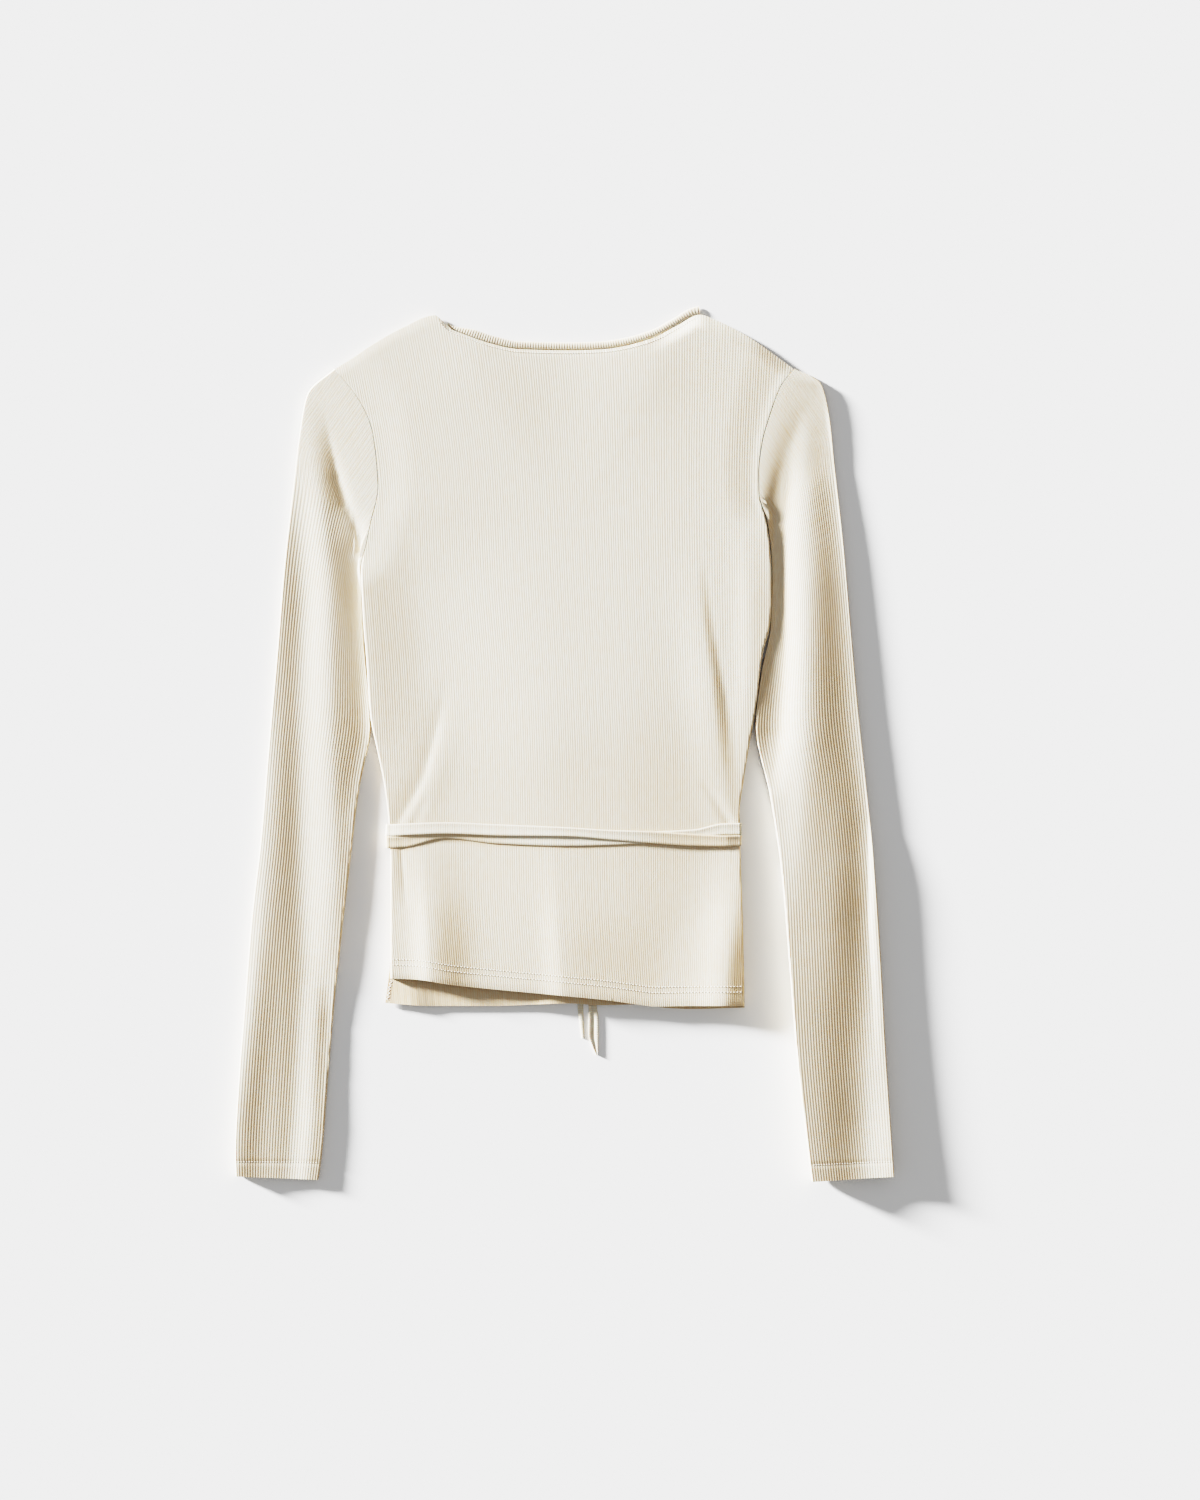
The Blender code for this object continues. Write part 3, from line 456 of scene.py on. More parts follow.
class Skin:
    """Collects grids of points and makes them one mesh of triangles with a knit UV map, where
    u counts ribs and v is the way along them in millimetres, and painted shade at each point."""

    def __init__(self):
        self.points, self.uvs, self.warmth, self.triangles = [], [], [], []
        self.count = 0

    def grid(self, x, y, z, u, v, warm=0.0):
        """Adds a grid of points, by rows, and returns their numbers."""
        shape = x.shape
        self.points.append(np.stack([x, y, z], -1).reshape(-1, 3))
        uv = np.stack([np.broadcast_to(u, shape), np.broadcast_to(v, shape)], -1)
        self.uvs.append(uv.reshape(-1, 2))
        self.warmth.append(np.broadcast_to(warm, shape).reshape(-1))
        index = np.arange(x.size).reshape(shape) + self.count
        self.count += x.size
        return index

    def add(self, faces, flip):
        self.triangles.append(faces[:, ::-1] if flip else faces)

    def quads(self, a, b, c, d, flip=False):
        first, second = [np.stack([p.ravel() for p in t], -1) for t in ((a, b, c), (a, c, d))]
        self.add(np.concatenate([first, second]), flip)

    def cover(self, index, flip=False):
        """Faces over a grid whose rows run down and columns to the right, seen from above."""
        self.quads(index[:-1, :-1], index[1:, :-1], index[1:, 1:], index[:-1, 1:], flip)

    def join(self, fine, coarse, flip=False):
        """Faces between a line of points and a coarser one beside it. The fine line has a
        whole number of steps to each step of the coarse one."""
        step = (len(fine) - 1) // (len(coarse) - 1)
        starts, ends = np.repeat(coarse[:-1], step), coarse[1:]
        fan = np.stack([starts, fine[:-1], fine[1:]], -1)
        close = np.stack([coarse[:-1], fine[step::step], ends], -1)
        self.add(np.concatenate([fan, close]), flip)

    def strip(self, x, y, z, u, v, warm=0.0, flip=False):
        """A solid strip: closed rings of points, one a row, with a fan over both ends."""
        index = self.grid(x, y, z, u, v, warm)
        self.cover(index, flip)
        for ring, turned in ((index[0], not flip), (index[-1], flip)):
            fan = np.stack([np.full(len(ring) - 3, ring[0]), ring[1:-2], ring[2:-1]], -1)
            self.add(fan, turned)

    def pipe(self, outer, inner, flip=False):
        """Closes a tube: its outer and inner face, and the rims at its ends."""
        self.cover(outer, flip)
        self.cover(inner, not flip)
        self.join(outer[0], inner[0], flip)
        self.join(outer[-1], inner[-1], not flip)

    def wall(self, outer, inner, flip=False):
        """Closes a panel: its outer and inner face, and the rim all round."""
        self.pipe(outer, inner, flip)
        self.quads(outer[:-1, 0], inner[:-1, 0], inner[1:, 0], outer[1:, 0], flip)
        self.quads(outer[:-1, -1], inner[:-1, -1], inner[1:, -1], outer[1:, -1], not flip)

    def build(self, name, material):
        """Makes the piece, with points that coincide merged and faces without area left out."""
        points = np.concatenate(self.points) * MM
        points[:, 2] = np.maximum(points[:, 2], 0.0)  # nothing dips into the table
        uvs, warmth = np.concatenate(self.uvs), np.concatenate(self.warmth)
        corners = np.concatenate(self.triangles)
        kept, merged = np.unique(np.round(points, MERGE_DIGITS), axis=0, return_inverse=True)
        merged = merged.ravel()
        faces = merged[corners]
        whole = (faces[:, 0] != faces[:, 1]) & (faces[:, 1] != faces[:, 2])
        whole &= faces[:, 0] != faces[:, 2]
        faces, corners = faces[whole], corners[whole]
        mesh = bpy.data.meshes.new(name)
        mesh.from_pydata(kept.tolist(), [], faces.tolist())
        layer = mesh.uv_layers.new(name="knit")
        layer.data.foreach_set("uv", uvs[corners].astype(np.float32).ravel())
        # each point's painted shade, which the knit's colour turns into tan
        attribute = mesh.attributes.new("warm", "FLOAT", "POINT")
        values = np.zeros(len(kept), np.float32)
        values[merged] = warmth
        attribute.data.foreach_set("value", values)
        mesh.polygons.foreach_set("use_smooth", np.ones(len(faces), bool))
        mesh.materials.append(material)
        mesh.update()
        mesh.set_sharp_from_angle(angle=SHARP_ANGLE)
        return place_object(name, mesh)


def rib_rise(count):
    """Rise of columns that follow each other, from a furrow on."""
    return np.array(RIB_COLUMNS)[np.arange(count) % len(RIB_COLUMNS)]


def rib_line(first, last):
    """Columns of ribs first to last: their numbers, and the rise of each."""
    count = (last - first) * len(RIB_COLUMNS) + 1
    return first + np.arange(count) / len(RIB_COLUMNS), rib_rise(count)


def spaced_rows(spans):
    """Heights from the top down. spans hold (end, step) after the first height."""
    heights = [spans[0]]
    for end, step in spans[1:]:
        count = max(1, round((heights[-1] - end) / step))
        heights += list(np.linspace(heights[-1], end, count + 1)[1:])
    return np.array(heights)


# ---- materials ----

CREAM = (0.652, 0.615, 0.512, 1.0)
TAN = (0.57, 0.39, 0.215, 1.0)  # painted shade, tan as where light has gone through knit, and random streaks and clouds
THREAD = (0.84, 0.82, 0.76, 1.0)
THREAD_TWIST = 2500.0
FURROW_START = 0.3  # where a furrow's painted shade starts, from a rib's middle, in ribs
COURSES = 0.8  # rows of stitches a millimetre
CHEVRON = 1.6  # rows by which stitches slant, for each rib's width
YARN = 900.0  # scales of noise
CLOUD = 14.0
STREAK_ACROSS, STREAK_ALONG = 0.6, 0.11
STREAK_ROUGHNESS = 0.65
MOST_NOISE = (0.3, 0.7)  # spans of noise that ramps are laid over
CLOUD_NOISE = (0.35, 0.75)
WIDE_NOISE = (0.2, 0.8)
KNIT_ROUGHNESS = (0.82, 0.94)
THREAD_ROUGHNESS = (0.55, 0.75)
THREAD_TAN = 0.3  # most of the tan in a thread's colour
# shares of tan: painted shade in furrows, on shaded points and between stitches; random tone in
# streaks and clouds
SHADE_AND_TONE_TINT = {"furrow": 0.36, "streak": 0.18, "cloud": 0.05, "shade": 0.52, "stitch": 0.05}
BUMP = {"rib": 0.6, "stitch": 0.1, "yarn": 0.35}
BUMP_STRENGTH = 0.45
BUMP_DISTANCE = 0.0003
KNIT_SURFACE = {
    "Metallic": 0.0, "Specular IOR Level": 0.25, "Sheen Weight": 0.12, "Sheen Roughness": 0.5,
    "Sheen Tint": CREAM, "Subsurface Weight": 0.2, "Subsurface Radius": (1.0, 0.6, 0.35),
    "Subsurface Scale": 0.002,
}


class Nodes:
    """Short ways to add shader nodes."""

    def __init__(self, material):
        material.use_nodes = True
        self.tree = material.node_tree
        self.place = self.new("TexCoord").outputs["Object"]

    def feed(self, node, values):
        """Sets or links a node's inputs, given by name or number."""
        for key, value in dict(values).items():
            if isinstance(value, bpy.types.NodeSocket):
                self.tree.links.new(value, node.inputs[key])
            else:
                node.inputs[key].default_value = value

    def new(self, kind, values=()):
        node = self.tree.nodes.new("ShaderNode" + kind)
        self.feed(node, values)
        return node

    def surface(self, values):
        self.feed(self.tree.nodes["Principled BSDF"], values)

    def math(self, operation, *values, clamp=False):
        node = self.new("Math", enumerate(values))
        node.operation = operation
        node.use_clamp = clamp
        return node.outputs[0]

    def times(self, first, second):
        return self.math("MULTIPLY", first, second)

    def total(self, *values, clamp=False):
        result = values[0]
        for value in values[1:]:
            result = self.math("ADD", result, value, clamp=clamp)
        return result

    def ramp(self, value, low, high, to_low=0.0, to_high=1.0):
        node = self.new("MapRange", {"Value": value, "From Min": low, "From Max": high,
                                     "To Min": to_low, "To Max": to_high})
        node.interpolation_type = "SMOOTHSTEP"
        return node.outputs[0]

    def noise(self, scale, detail, vector=None, roughness=0.5):
        at = self.place if vector is None else vector
        return self.new("TexNoise", {"Scale": scale, "Detail": detail, "Roughness": roughness,
                                     "Vector": at}).outputs["Fac"]

    def mix(self, factor, first, second):
        """A blend of two colours. They have sockets 6 and 7 of a mix node, and 2 comes out."""
        node = self.new("Mix", {0: factor, 6: first, 7: second})
        node.data_type = "RGBA"
        return node.outputs[2]


def knit_colour(nodes, ribs, along, from_middle, stitch):
    """Cream, with tan painted shade in furrows, between stitches and on shaded points, and tan
    random streaks and clouds.
    """
    # painted shade in the furrows between ribs
    furrow = nodes.ramp(from_middle, FURROW_START, 0.5)
    streak_at = nodes.new("CombineXYZ", {0: nodes.times(ribs, STREAK_ACROSS),
                                         1: nodes.times(along, STREAK_ALONG)})
    streak = nodes.noise(1.0, 2.0, streak_at.outputs[0], STREAK_ROUGHNESS)
    cloud = nodes.noise(CLOUD, 3.0)
    # painted shade, kept on the mesh's points
    shade = nodes.new("Attribute")
    shade.attribute_name = "warm"
    tan_share = nodes.total(
        nodes.times(furrow, SHADE_AND_TONE_TINT["furrow"]),
        nodes.ramp(streak, *MOST_NOISE, 0.0, SHADE_AND_TONE_TINT["streak"]),
        nodes.ramp(cloud, *CLOUD_NOISE, 0.0, SHADE_AND_TONE_TINT["cloud"]),
        nodes.times(shade.outputs["Fac"], SHADE_AND_TONE_TINT["shade"]),
        nodes.ramp(stitch, -1.0, 0.2, SHADE_AND_TONE_TINT["stitch"], 0.0), clamp=True)
    return nodes.mix(tan_share, CREAM, TAN)


def knit_bump(nodes, from_middle, stitch, yarn):
    """Relief too fine for the mesh: round ribs, stitches and yarn."""
    rib = nodes.math("SUBTRACT", 0.5, from_middle)
    height = nodes.total(nodes.times(rib, BUMP["rib"]), nodes.times(stitch, BUMP["stitch"]),
                         nodes.times(yarn, BUMP["yarn"]))
    return nodes.new("Bump", {"Strength": BUMP_STRENGTH, "Distance": BUMP_DISTANCE,
                              "Height": height}).outputs[0]


def knit_material(name):
    """Rib knit: furrows between the ribs, chevrons of stitches on them, and uneven yarn."""
    material = bpy.data.materials.new(name)
    nodes = Nodes(material)
    uv = nodes.new("UVMap")
    uv.uv_map = "knit"
    split = nodes.new("SeparateXYZ", {0: uv.outputs[0]})
    ribs, along = split.outputs["X"], split.outputs["Y"]
    across = nodes.math("FRACT", ribs)
    from_middle = nodes.math("ABSOLUTE", nodes.math("SUBTRACT", across, 0.5))
    slant = nodes.total(nodes.times(along, COURSES), nodes.times(from_middle, CHEVRON))
    stitch = nodes.math("SINE", nodes.times(slant, 2.0 * math.pi))
    yarn = nodes.noise(YARN, 3.0)
    nodes.surface({
        **KNIT_SURFACE,
        "Base Color": knit_colour(nodes, ribs, along, from_middle, stitch),
        "Roughness": nodes.ramp(yarn, *MOST_NOISE, *KNIT_ROUGHNESS),
        "Normal": knit_bump(nodes, from_middle, stitch, yarn),
    })
    return material


def thread_material():
    """Sewing thread, twisted along its length."""
    material = bpy.data.materials.new("thread")
    nodes = Nodes(material)
    twist = nodes.noise(THREAD_TWIST, 2.0)
    nodes.surface({
        "Base Color": nodes.mix(nodes.ramp(twist, *MOST_NOISE, 0.0, THREAD_TAN), THREAD, TAN),
        "Roughness": nodes.ramp(twist, *WIDE_NOISE, *THREAD_ROUGHNESS),
    })
    return material


# ---- body ----

BACK_ROW_SPANS = (SHOULDER_Y, (285.0, 3.0), (180.0, 5.0), (20.0, 5.0), (-34.0, 4.0),
                  (-110.0, 3.0), (-170.0, 4.2), (HEM_Y, 2.8))
GRID_PASSES = 4
LOWER_PAINTED_SHADE = 0.22  # painted shade: the lower back a little darker and warmer than the shoulders
LOWER_PAINTED_SHADE_Y = (60.0, -100.0)
BELT_SHADE = 3.0  # width of the painted shade below the belt
# most of that painted shade, at the belt's lower edge
BELT_PAINTED_SHADE = 0.9


def body_grid(numbers, heights, hem, left_edge, right_edge):
    """Places on the table of the ribs of a body panel, clipped by its side edges. Its rows
    take the neckline's curve at the top and the hem's at the end."""
    row_y, number = np.meshgrid(heights, numbers, indexing="ij")
    hem_share = np.clip((HEM_START - heights) / (HEM_START - heights[-1]), 0.0, 1.0)
    low, high = SIDE["left"](row_y), SIDE["right"](row_y)
    tips = SIDE["left"](SHOULDER_Y), SIDE["right"](SHOULDER_Y)
    y = row_y
    for _ in range(GRID_PASSES):
        x = np.clip(rib_x(number + stray(number), y), left_edge(row_y, y), right_edge(row_y, y))
        top = TOP_EDGE(lerp(tips[0], tips[1], (x - low) / (high - low)))
        y = row_y + TOP_SHARE(heights)[:, None] * (top - SHOULDER_Y)
        y = y + hem_share[:, None] * (hem(x) - heights[-1])
    return x, y, row_y


def body_side(side):
    """A side of the body as an edge of a panel."""
    return lambda row_y, y: SIDE[side](row_y)


def back_heights(x, y, row_y, rise):
    """Inner and outer face of the back."""
    inner = back_base(x, y) + body_puff(x, y, row_y)
    free = np.minimum(TOP_EDGE(x) - y, y - BACK_HEM(x))
    sides = np.inf
    for _, inset, above in side_insets(x, y, row_y):
        sides = np.minimum(sides, inset)
        free = np.minimum(free, inset + EDGE_ROLL * above)
    ribs = RIB_RISE * rise * np.clip(sides / RIB_EDGE, 0.0, 1.0)
    return inner, inner + CLOTH * edge_wall(np.maximum(0.0, free)) + ribs


def back_surface(x, y):
    """Height of the back's outer face at single points, in its furrows."""
    x, y = np.atleast_1d(np.asarray(x, float)), np.atleast_1d(np.asarray(y, float))
    return back_heights(x, y, np.minimum(y, SHOULDER_Y), 0.0)[1]


def back_warmth(x, y, z):
    """Painted shade on the back: on slopes turned from the light, more low down, and below the
    belt.
    """
    warm = turned_away(x, y, z) + LOWER_PAINTED_SHADE * between(y, *LOWER_PAINTED_SHADE_Y)
    below_belt = (y - np.minimum(CROSSING_AT["a_low"](x), CROSSING_AT["b_low"](x))) / BELT_SHADE
    return np.maximum(warm, BELT_PAINTED_SHADE * np.exp(-below_belt ** 2))


def build_back(material):
    numbers, rise = rib_line(*BACK_RIBS)
    x, y, row_y = body_grid(numbers, spaced_rows(BACK_ROW_SPANS), BACK_HEM,
                            body_side("left"), body_side("right"))
    inner, outer = back_heights(x, y, row_y, rise[None, :])
    skin = Skin()
    face = skin.grid(x, y, outer, numbers[None, :], -y, back_warmth(x, y, inner))
    some = slice(None, None, INNER_STEP)
    under = skin.grid(x[:, some], y[:, some], inner[:, some], numbers[None, some], -y[:, some])
    skin.wall(face, under)
    return skin.build("back_knit", material)


def wrap_x(neck, end, y):
    return neck[0] + (end[0] - neck[0]) * (neck[1] - y) / (neck[1] - end[1])


FRONT_ROW_SPANS = (SHOULDER_Y, (60.0, 8.0), (-22.0, 8.0), (-110.0, 5.0), (HEM_Y, 8.0))
FRONT_HEM_ROW = -204.0
FRONT_RIB_STEP = 2  # every second column of a rib is kept on the fronts
# painted shade over the fronts' upper faces, their wrong side, where the back's hem shades them
FRONT_TOP_PAINTED_SHADE = 0.85
INNER_FRONT_INSET = 14.0
OUTER_FRONT_INSET = 1.0
INNER_LEFT_LOW = -142.0  # the inner front's side allowance juts out at the hem
INNER_FLARE_START = -168.0
SHOULDER_INSET_REACH = 40.0
SEAM_RISE_WIDTH = 9.0  # the outer front comes up to the back at the right side
SEAM_RISE_Y = (SHOULDER_Y - 12.0, SHOULDER_Y - 32.0)


def build_front(name, material, base, left_edge, right_edge, hem, shoulder_inset=0.0):
    """A front, ribbed on both faces. base(x, y, row_y) is the height of its underside."""
    numbers, rise = rib_line(*BACK_RIBS)
    numbers, rise = numbers[::FRONT_RIB_STEP], rise[::FRONT_RIB_STEP]
    heights = spaced_rows(FRONT_ROW_SPANS)
    heights[-1] = FRONT_HEM_ROW
    x, y, row_y = body_grid(numbers, heights, hem, left_edge, right_edge)
    y = y - shoulder_inset * between(row_y, SHOULDER_Y - SHOULDER_INSET_REACH, SHOULDER_Y)
    under = base(x, y, row_y)
    inset = np.minimum(x - left_edge(row_y, y), right_edge(row_y, y) - x)
    furrow = SLEEVE_RIB_RISE * (1.0 - rise[None, :]) * np.clip(inset / RIB_EDGE, 0.0, 1.0)
    skin = Skin()
    face = skin.grid(x, y, under + furrow, numbers[None, :], -y)
    top = skin.grid(x, y, under + CLOTH - furrow, numbers[None, :], -y, FRONT_TOP_PAINTED_SHADE)
    skin.wall(face, top, flip=True)
    return skin.build(name, material)


def build_front_inner(material):
    def right_edge(row_y, y):
        wrap = wrap_x(NECK_LEFT, WRAP_END_RIGHT, y)
        return np.minimum(wrap, SIDE["right"](row_y) - INNER_FRONT_INSET)

    def left_edge(row_y, y):
        flare = between(row_y, INNER_FLARE_START, FRONT_HEM_ROW)
        return lerp(SIDE["left"](row_y), INNER_LEFT_LOW, flare)

    def base(x, y, row_y):
        return LAYER + lift(x, y) + fold_relief(INNER_FRONT_FOLDS, x, y)

    return build_front("front_inner_knit", material, base, left_edge, right_edge, INNER_HEM)


def build_front_outer(material):
    def left_edge(row_y, y):
        wrap = wrap_x(NECK_RIGHT, WRAP_END_LEFT, y)
        return np.maximum(wrap, SIDE["left"](row_y) + OUTER_FRONT_INSET)

    def base(x, y, row_y):
        to_seam = ease(1.0 - (SIDE["right"](row_y) - x) / SEAM_RISE_WIDTH)
        return lift(x, y) + LAYER * to_seam * between(row_y, *SEAM_RISE_Y)

    return build_front("front_outer_knit", material, base, left_edge, body_side("right"),
                       OUTER_HEM, SHOULDER_ROLL)


# ---- sleeves ----

# Stations from the armhole to the cuff. follow is the share of the armhole's curve.
Station = namedtuple("Station", "outer_x outer_y inner_x inner_y follow")
SLEEVES = {side: [Station(*row) for row in rows] for side, rows in {
    "left": (
        (-183, 300.6, -161.7, 139, 1), (-204.6, 280.2, -161.1, 123, 0.8),
        (-210.8, 248, -160.5, 109, 0.6), (-215.2, 210.8, -159.8, 95, 0.4),
        (-222.5, 148, -156.7, 55, 0.15), (-229, 72, -153.6, 15, 0), (-235.5, -1.2, -163, -36, 0),
        (-241.6, -74, -171, -102, 0), (-249, -138, -177.4, -157, 0),
        (-254.6, -207, -183.2, -212, 0), (-259.6, -272, -188.2, -274, 0),
        (-262.2, -325, -192.4, -325, 0), (-261.6, -344.8, -195.4, -347.8, 0),
    ),
    "right": (
        (185.2, 300.6, 162.8, 180, 1), (206, 289.5, 165, 166, 0.8),
        (213.2, 262, 166.6, 152, 0.6), (216.8, 228, 167.1, 139, 0.4),
        (224.6, 158, 165.8, 95, 0.15), (230.8, 88, 158, 55, 0), (236, 30, 153.6, 15, 0),
        (242, -27.6, 165.4, -41, 0), (249, -97, 174.4, -102, 0), (254.4, -177.2, 180.8, -178, 0),
        (257.8, -241.2, 186, -243, 0), (262.4, -311.6, 193.8, -312, 0),
        (264.6, -344.6, 198.4, -348.4, 0),
    ),
}.items()}
# Heights of the upper wall at both edges of a sleeve, by (y, z)
SLEEVE_LEVELS = {
    "left": {
        "outer": smooth_curve(((300, 4.4), (195, 4.6), (68, 4.8), (-60, 5), (-140, 5.3),
                               (-220, 5.8), (-300, 6.2), (-348, 6.3))),
        "inner": smooth_curve(((300, 5), (195, 5), (131, 4.4), (4, 4.3), (-140, 4.4),
                               (-348, 4.5))),
    },
    "right": {
        "outer": smooth_curve(((300, 3.9), (251, 4.9), (148, 6.4), (36, 7.5), (-84, 8.9),
                               (-204, 9.8), (-300, 11.2), (-348, 11.9))),
        "inner": smooth_curve(((300, 5.4), (180, 5.8), (100, 6.9), (4, 8.8), (-60, 11.2),
                               (-140, 13.6), (-220, 14.9), (-300, 15), (-348, 14.8))),
    },
}
# How far both edges of a sleeve stand off the table, by (y, z): the wall rolls in under them
SLEEVE_EDGE_LIFT = {
    "left": {
        "outer": smooth_curve(((300, 0), (150, 0.8), (-348, 1.6))),
        "inner": smooth_curve(((300, 0), (0, 0.4), (-348, 0.8))),
    },
    "right": {
        "outer": smooth_curve(((300, 0), (150, 1.2), (36, 2.4), (-84, 3.4), (-348, 5))),
        "inner": smooth_curve(((300, 0), (0, 0), (-60, 2.5), (-140, 5.5), (-220, 6.5),
                               (-348, 6.5))),
    },
}
SEAM_STEP = {"left": -0.1, "right": 0.0}  # height of a sleeve over the body at the armhole
SEAM_BLEND = 26.0  # length over which a sleeve takes its own height, from the armhole on
SLEEVE_RIBS = 40  # ribs across the top of a sleeve at its armhole
CUFF_RIBS = 32
SLEEVE_STEP = 3.1
CUFF_FINE = 20.0  # rows are closer this near the cuff
CUFF_ROWS = 15
SLEEVE_LEAST = 2.0  # least height of the upper wall between its edges
UNDER_RIBS = 10  # ribs' worth of columns across the flat underside
UNDER_ROLL = 2.0  # width over which the underside comes down, more where the edge is high
UNDERARM_FADE = 0.25
HOLLOW_STEP = 8  # columns of the outer face to one of the hollow
HOLLOW_INSET = 1.3
HOLLOW_FLOOR = 0.9
HOLLOW_EDGE_Z = 0.8
SHELF_FULL = 6.0  # depth of the shelf at which its shade would be full
SHELF_SHADE = 0.6
CUFF_STITCH = 12.8  # from the cuff's edge to its stitching
STITCH_PRESS = 0.25
STITCH_PRESS_WIDTH = 1.6


def armhole_point(side, share):
    """Where the sleeve meets the armhole, at this share of the way down from the shoulder."""
    y = lerp(SHOULDER_Y, SLEEVES[side][0].inner_y, share)
    x = SIDE[side](y)
    slope = (SIDE[side](y + 1.0) - SIDE[side](y - 1.0)) / 2.0
    return x + AWAY[side] * SEAM_GAP * np.hypot(1.0, slope), y


def sleeve_rows(side):
    """Smoothly spaced stations of a sleeve: columns of the table read along its length."""
    stations = SLEEVES[side]
    lengths = [0.0]
    for a, b in zip(stations, stations[1:]):
        outer = math.dist((a.outer_x, a.outer_y), (b.outer_x, b.outer_y))
        inner = math.dist((a.inner_x, a.inner_y), (b.inner_x, b.inner_y))
        lengths.append(lengths[-1] + (outer + inner) / 2.0)
    total = lengths[-1]
    count = round((total - CUFF_FINE) / SLEEVE_STEP)
    places = np.concatenate([np.linspace(0.0, total - CUFF_FINE, count, endpoint=False),
                             np.linspace(total - CUFF_FINE, total, CUFF_ROWS)])
    columns = [smooth_curve(list(zip(lengths, column)))(places) for column in zip(*stations)]
    return places, total, Station(*[c[:, None] for c in columns])


def sleeve_place(side, station, share):
    """Places on the table of shares across stations, from the outer to the inner edge."""
    away = AWAY[side]
    x = lerp(station.outer_x, station.inner_x, share)
    y = lerp(station.outer_y, station.inner_y, share)
    tip, pit = armhole_point(side, 0.0), armhole_point(side, 1.0)
    at = armhole_point(side, share)
    fade = np.where(station.follow < 1.0, ease((1.0 - share) / UNDERARM_FADE), 1.0)
    follow = station.follow * fade
    x = x + follow * (at[0] - lerp(tip[0], pit[0], share))
    y = y + follow * (at[1] - lerp(tip[1], pit[1], share))
    clear = SIDE[side](y) + away * SIDE_GAP
    return away * np.maximum(away * x, away * clear), y


def sleeve_span(side, station):
    """Width of a sleeve at each of its rows."""
    ends = np.zeros_like(station.outer_x), np.ones_like(station.outer_x)
    outer, inner = (sleeve_place(side, station, share) for share in ends)
    return np.hypot(outer[0] - inner[0], outer[1] - inner[1])


def sleeve_top(side, x, y, share, span, place, total):
    """Height of the upper wall of a sleeve, without its ribs."""
    levels = SLEEVE_LEVELS[side]
    full = lerp(levels["outer"](y), levels["inner"](y), share)
    full = full + fold_relief(SLEEVE_FOLDS[side], x, y)
    full = np.maximum(full, SLEEVE_LEAST)
    seam_x, seam_y = armhole_point(side, share)
    seam = back_surface(seam_x, seam_y).reshape(np.shape(share))
    full = lerp(seam + SEAM_STEP[side], full, ease(place / SEAM_BLEND))
    stitched = np.exp(-((total - place - CUFF_STITCH) / STITCH_PRESS_WIDTH) ** 2)
    full = full - STITCH_PRESS * stitched
    outer, inner = SLEEVE_ROUNDING[side]
    rise = quarter(share * span / outer) * quarter((1.0 - share) * span / inner)
    return lerp(sleeve_edge(side, y, share), full, rise)


def sleeve_edge(side, y, share):
    """Height of both edges of a sleeve."""
    edges = SLEEVE_EDGE_LIFT[side]
    return SLEEVE_EDGE_Z + lerp(edges["outer"](y), edges["inner"](y), share)


# Ribs of the cap run slantwise to the shoulder, from the crease at the armhole on
CAP_SLANT = math.radians(35.0)
CAP_PITCH = 2.1
CAP_STRAY = 3.0
CAP_START = {"left": (-200.0, 225.0, 9.0), "right": (205.0, 235.0, 9.0)}  # x, y, rib number
CAP_CREASE = {
    "left": smooth_curve(((150, -158), (164, -163), (178, -166), (192, -175), (212, -181),
                          (233, -184), (252, -190), (300, -205))),
    "right": smooth_curve(((160, 170), (190, 174), (215, 178), (240, 190), (300, 205))),
}
CAP_END = (74.0, 38.0)  # from the armhole, where lengthwise ribs give way to slant ones
CAP_LOW = (190.0, 220.0)  # slant ribs over the whole width start at these heights
CAP_CREASE_LOW = (150.0, 165.0)  # and beside the crease at these
CAP_CREASE_BLEND = 3.0


def cap_ribs(side, x, y, place, numbers):
    """Rib numbers on a sleeve, and how far they are the lengthwise ribs of its mesh."""
    way = -AWAY[side]
    start_x, start_y, first = CAP_START[side]
    across = (x - start_x) * way * math.cos(CAP_SLANT) - (y - start_y) * math.sin(CAP_SLANT)
    slant = first + across / CAP_PITCH
    slant = slant + CAP_STRAY * stray(slant)
    top = between(place, *CAP_END)
    beside = between((x - CAP_CREASE[side](y)) * way, -CAP_CREASE_BLEND, CAP_CREASE_BLEND)
    beside = beside * between(y, *CAP_CREASE_LOW)
    share = np.maximum(top * between(y, *CAP_LOW), beside)
    return lerp(numbers, slant, share), 1.0 - np.maximum(share, top)


def sleeve_shade(side, x, y, z):
    """Painted shade on the upper wall: on slopes turned from the light, and on the shelf, which
    lies in the body's shadow.
    """
    shade = turned_away(x, y, z)
    if side == "right":
        shelf = np.clip(-fold_relief((SHELF,), x, y) / SHELF_FULL, 0.0, SHELF_SHADE)
        shade = np.maximum(shade, shelf)
    return shade


def sleeve_underside(side, station, span):
    """The lower wall, from the inner edge to the outer one: shares across, and places."""
    count = UNDER_RIBS * len(RIB_COLUMNS)
    share = np.linspace(1.0, 0.0, count + 1)[None, 1:] + np.zeros_like(span)
    x, y = sleeve_place(side, station, share)
    inset = np.minimum(share, 1.0 - share) * span
    edge_z = sleeve_edge(side, y, share)
    return share, x, y, edge_z * (1.0 - quarter(inset / (UNDER_ROLL * (1.0 + edge_z))))


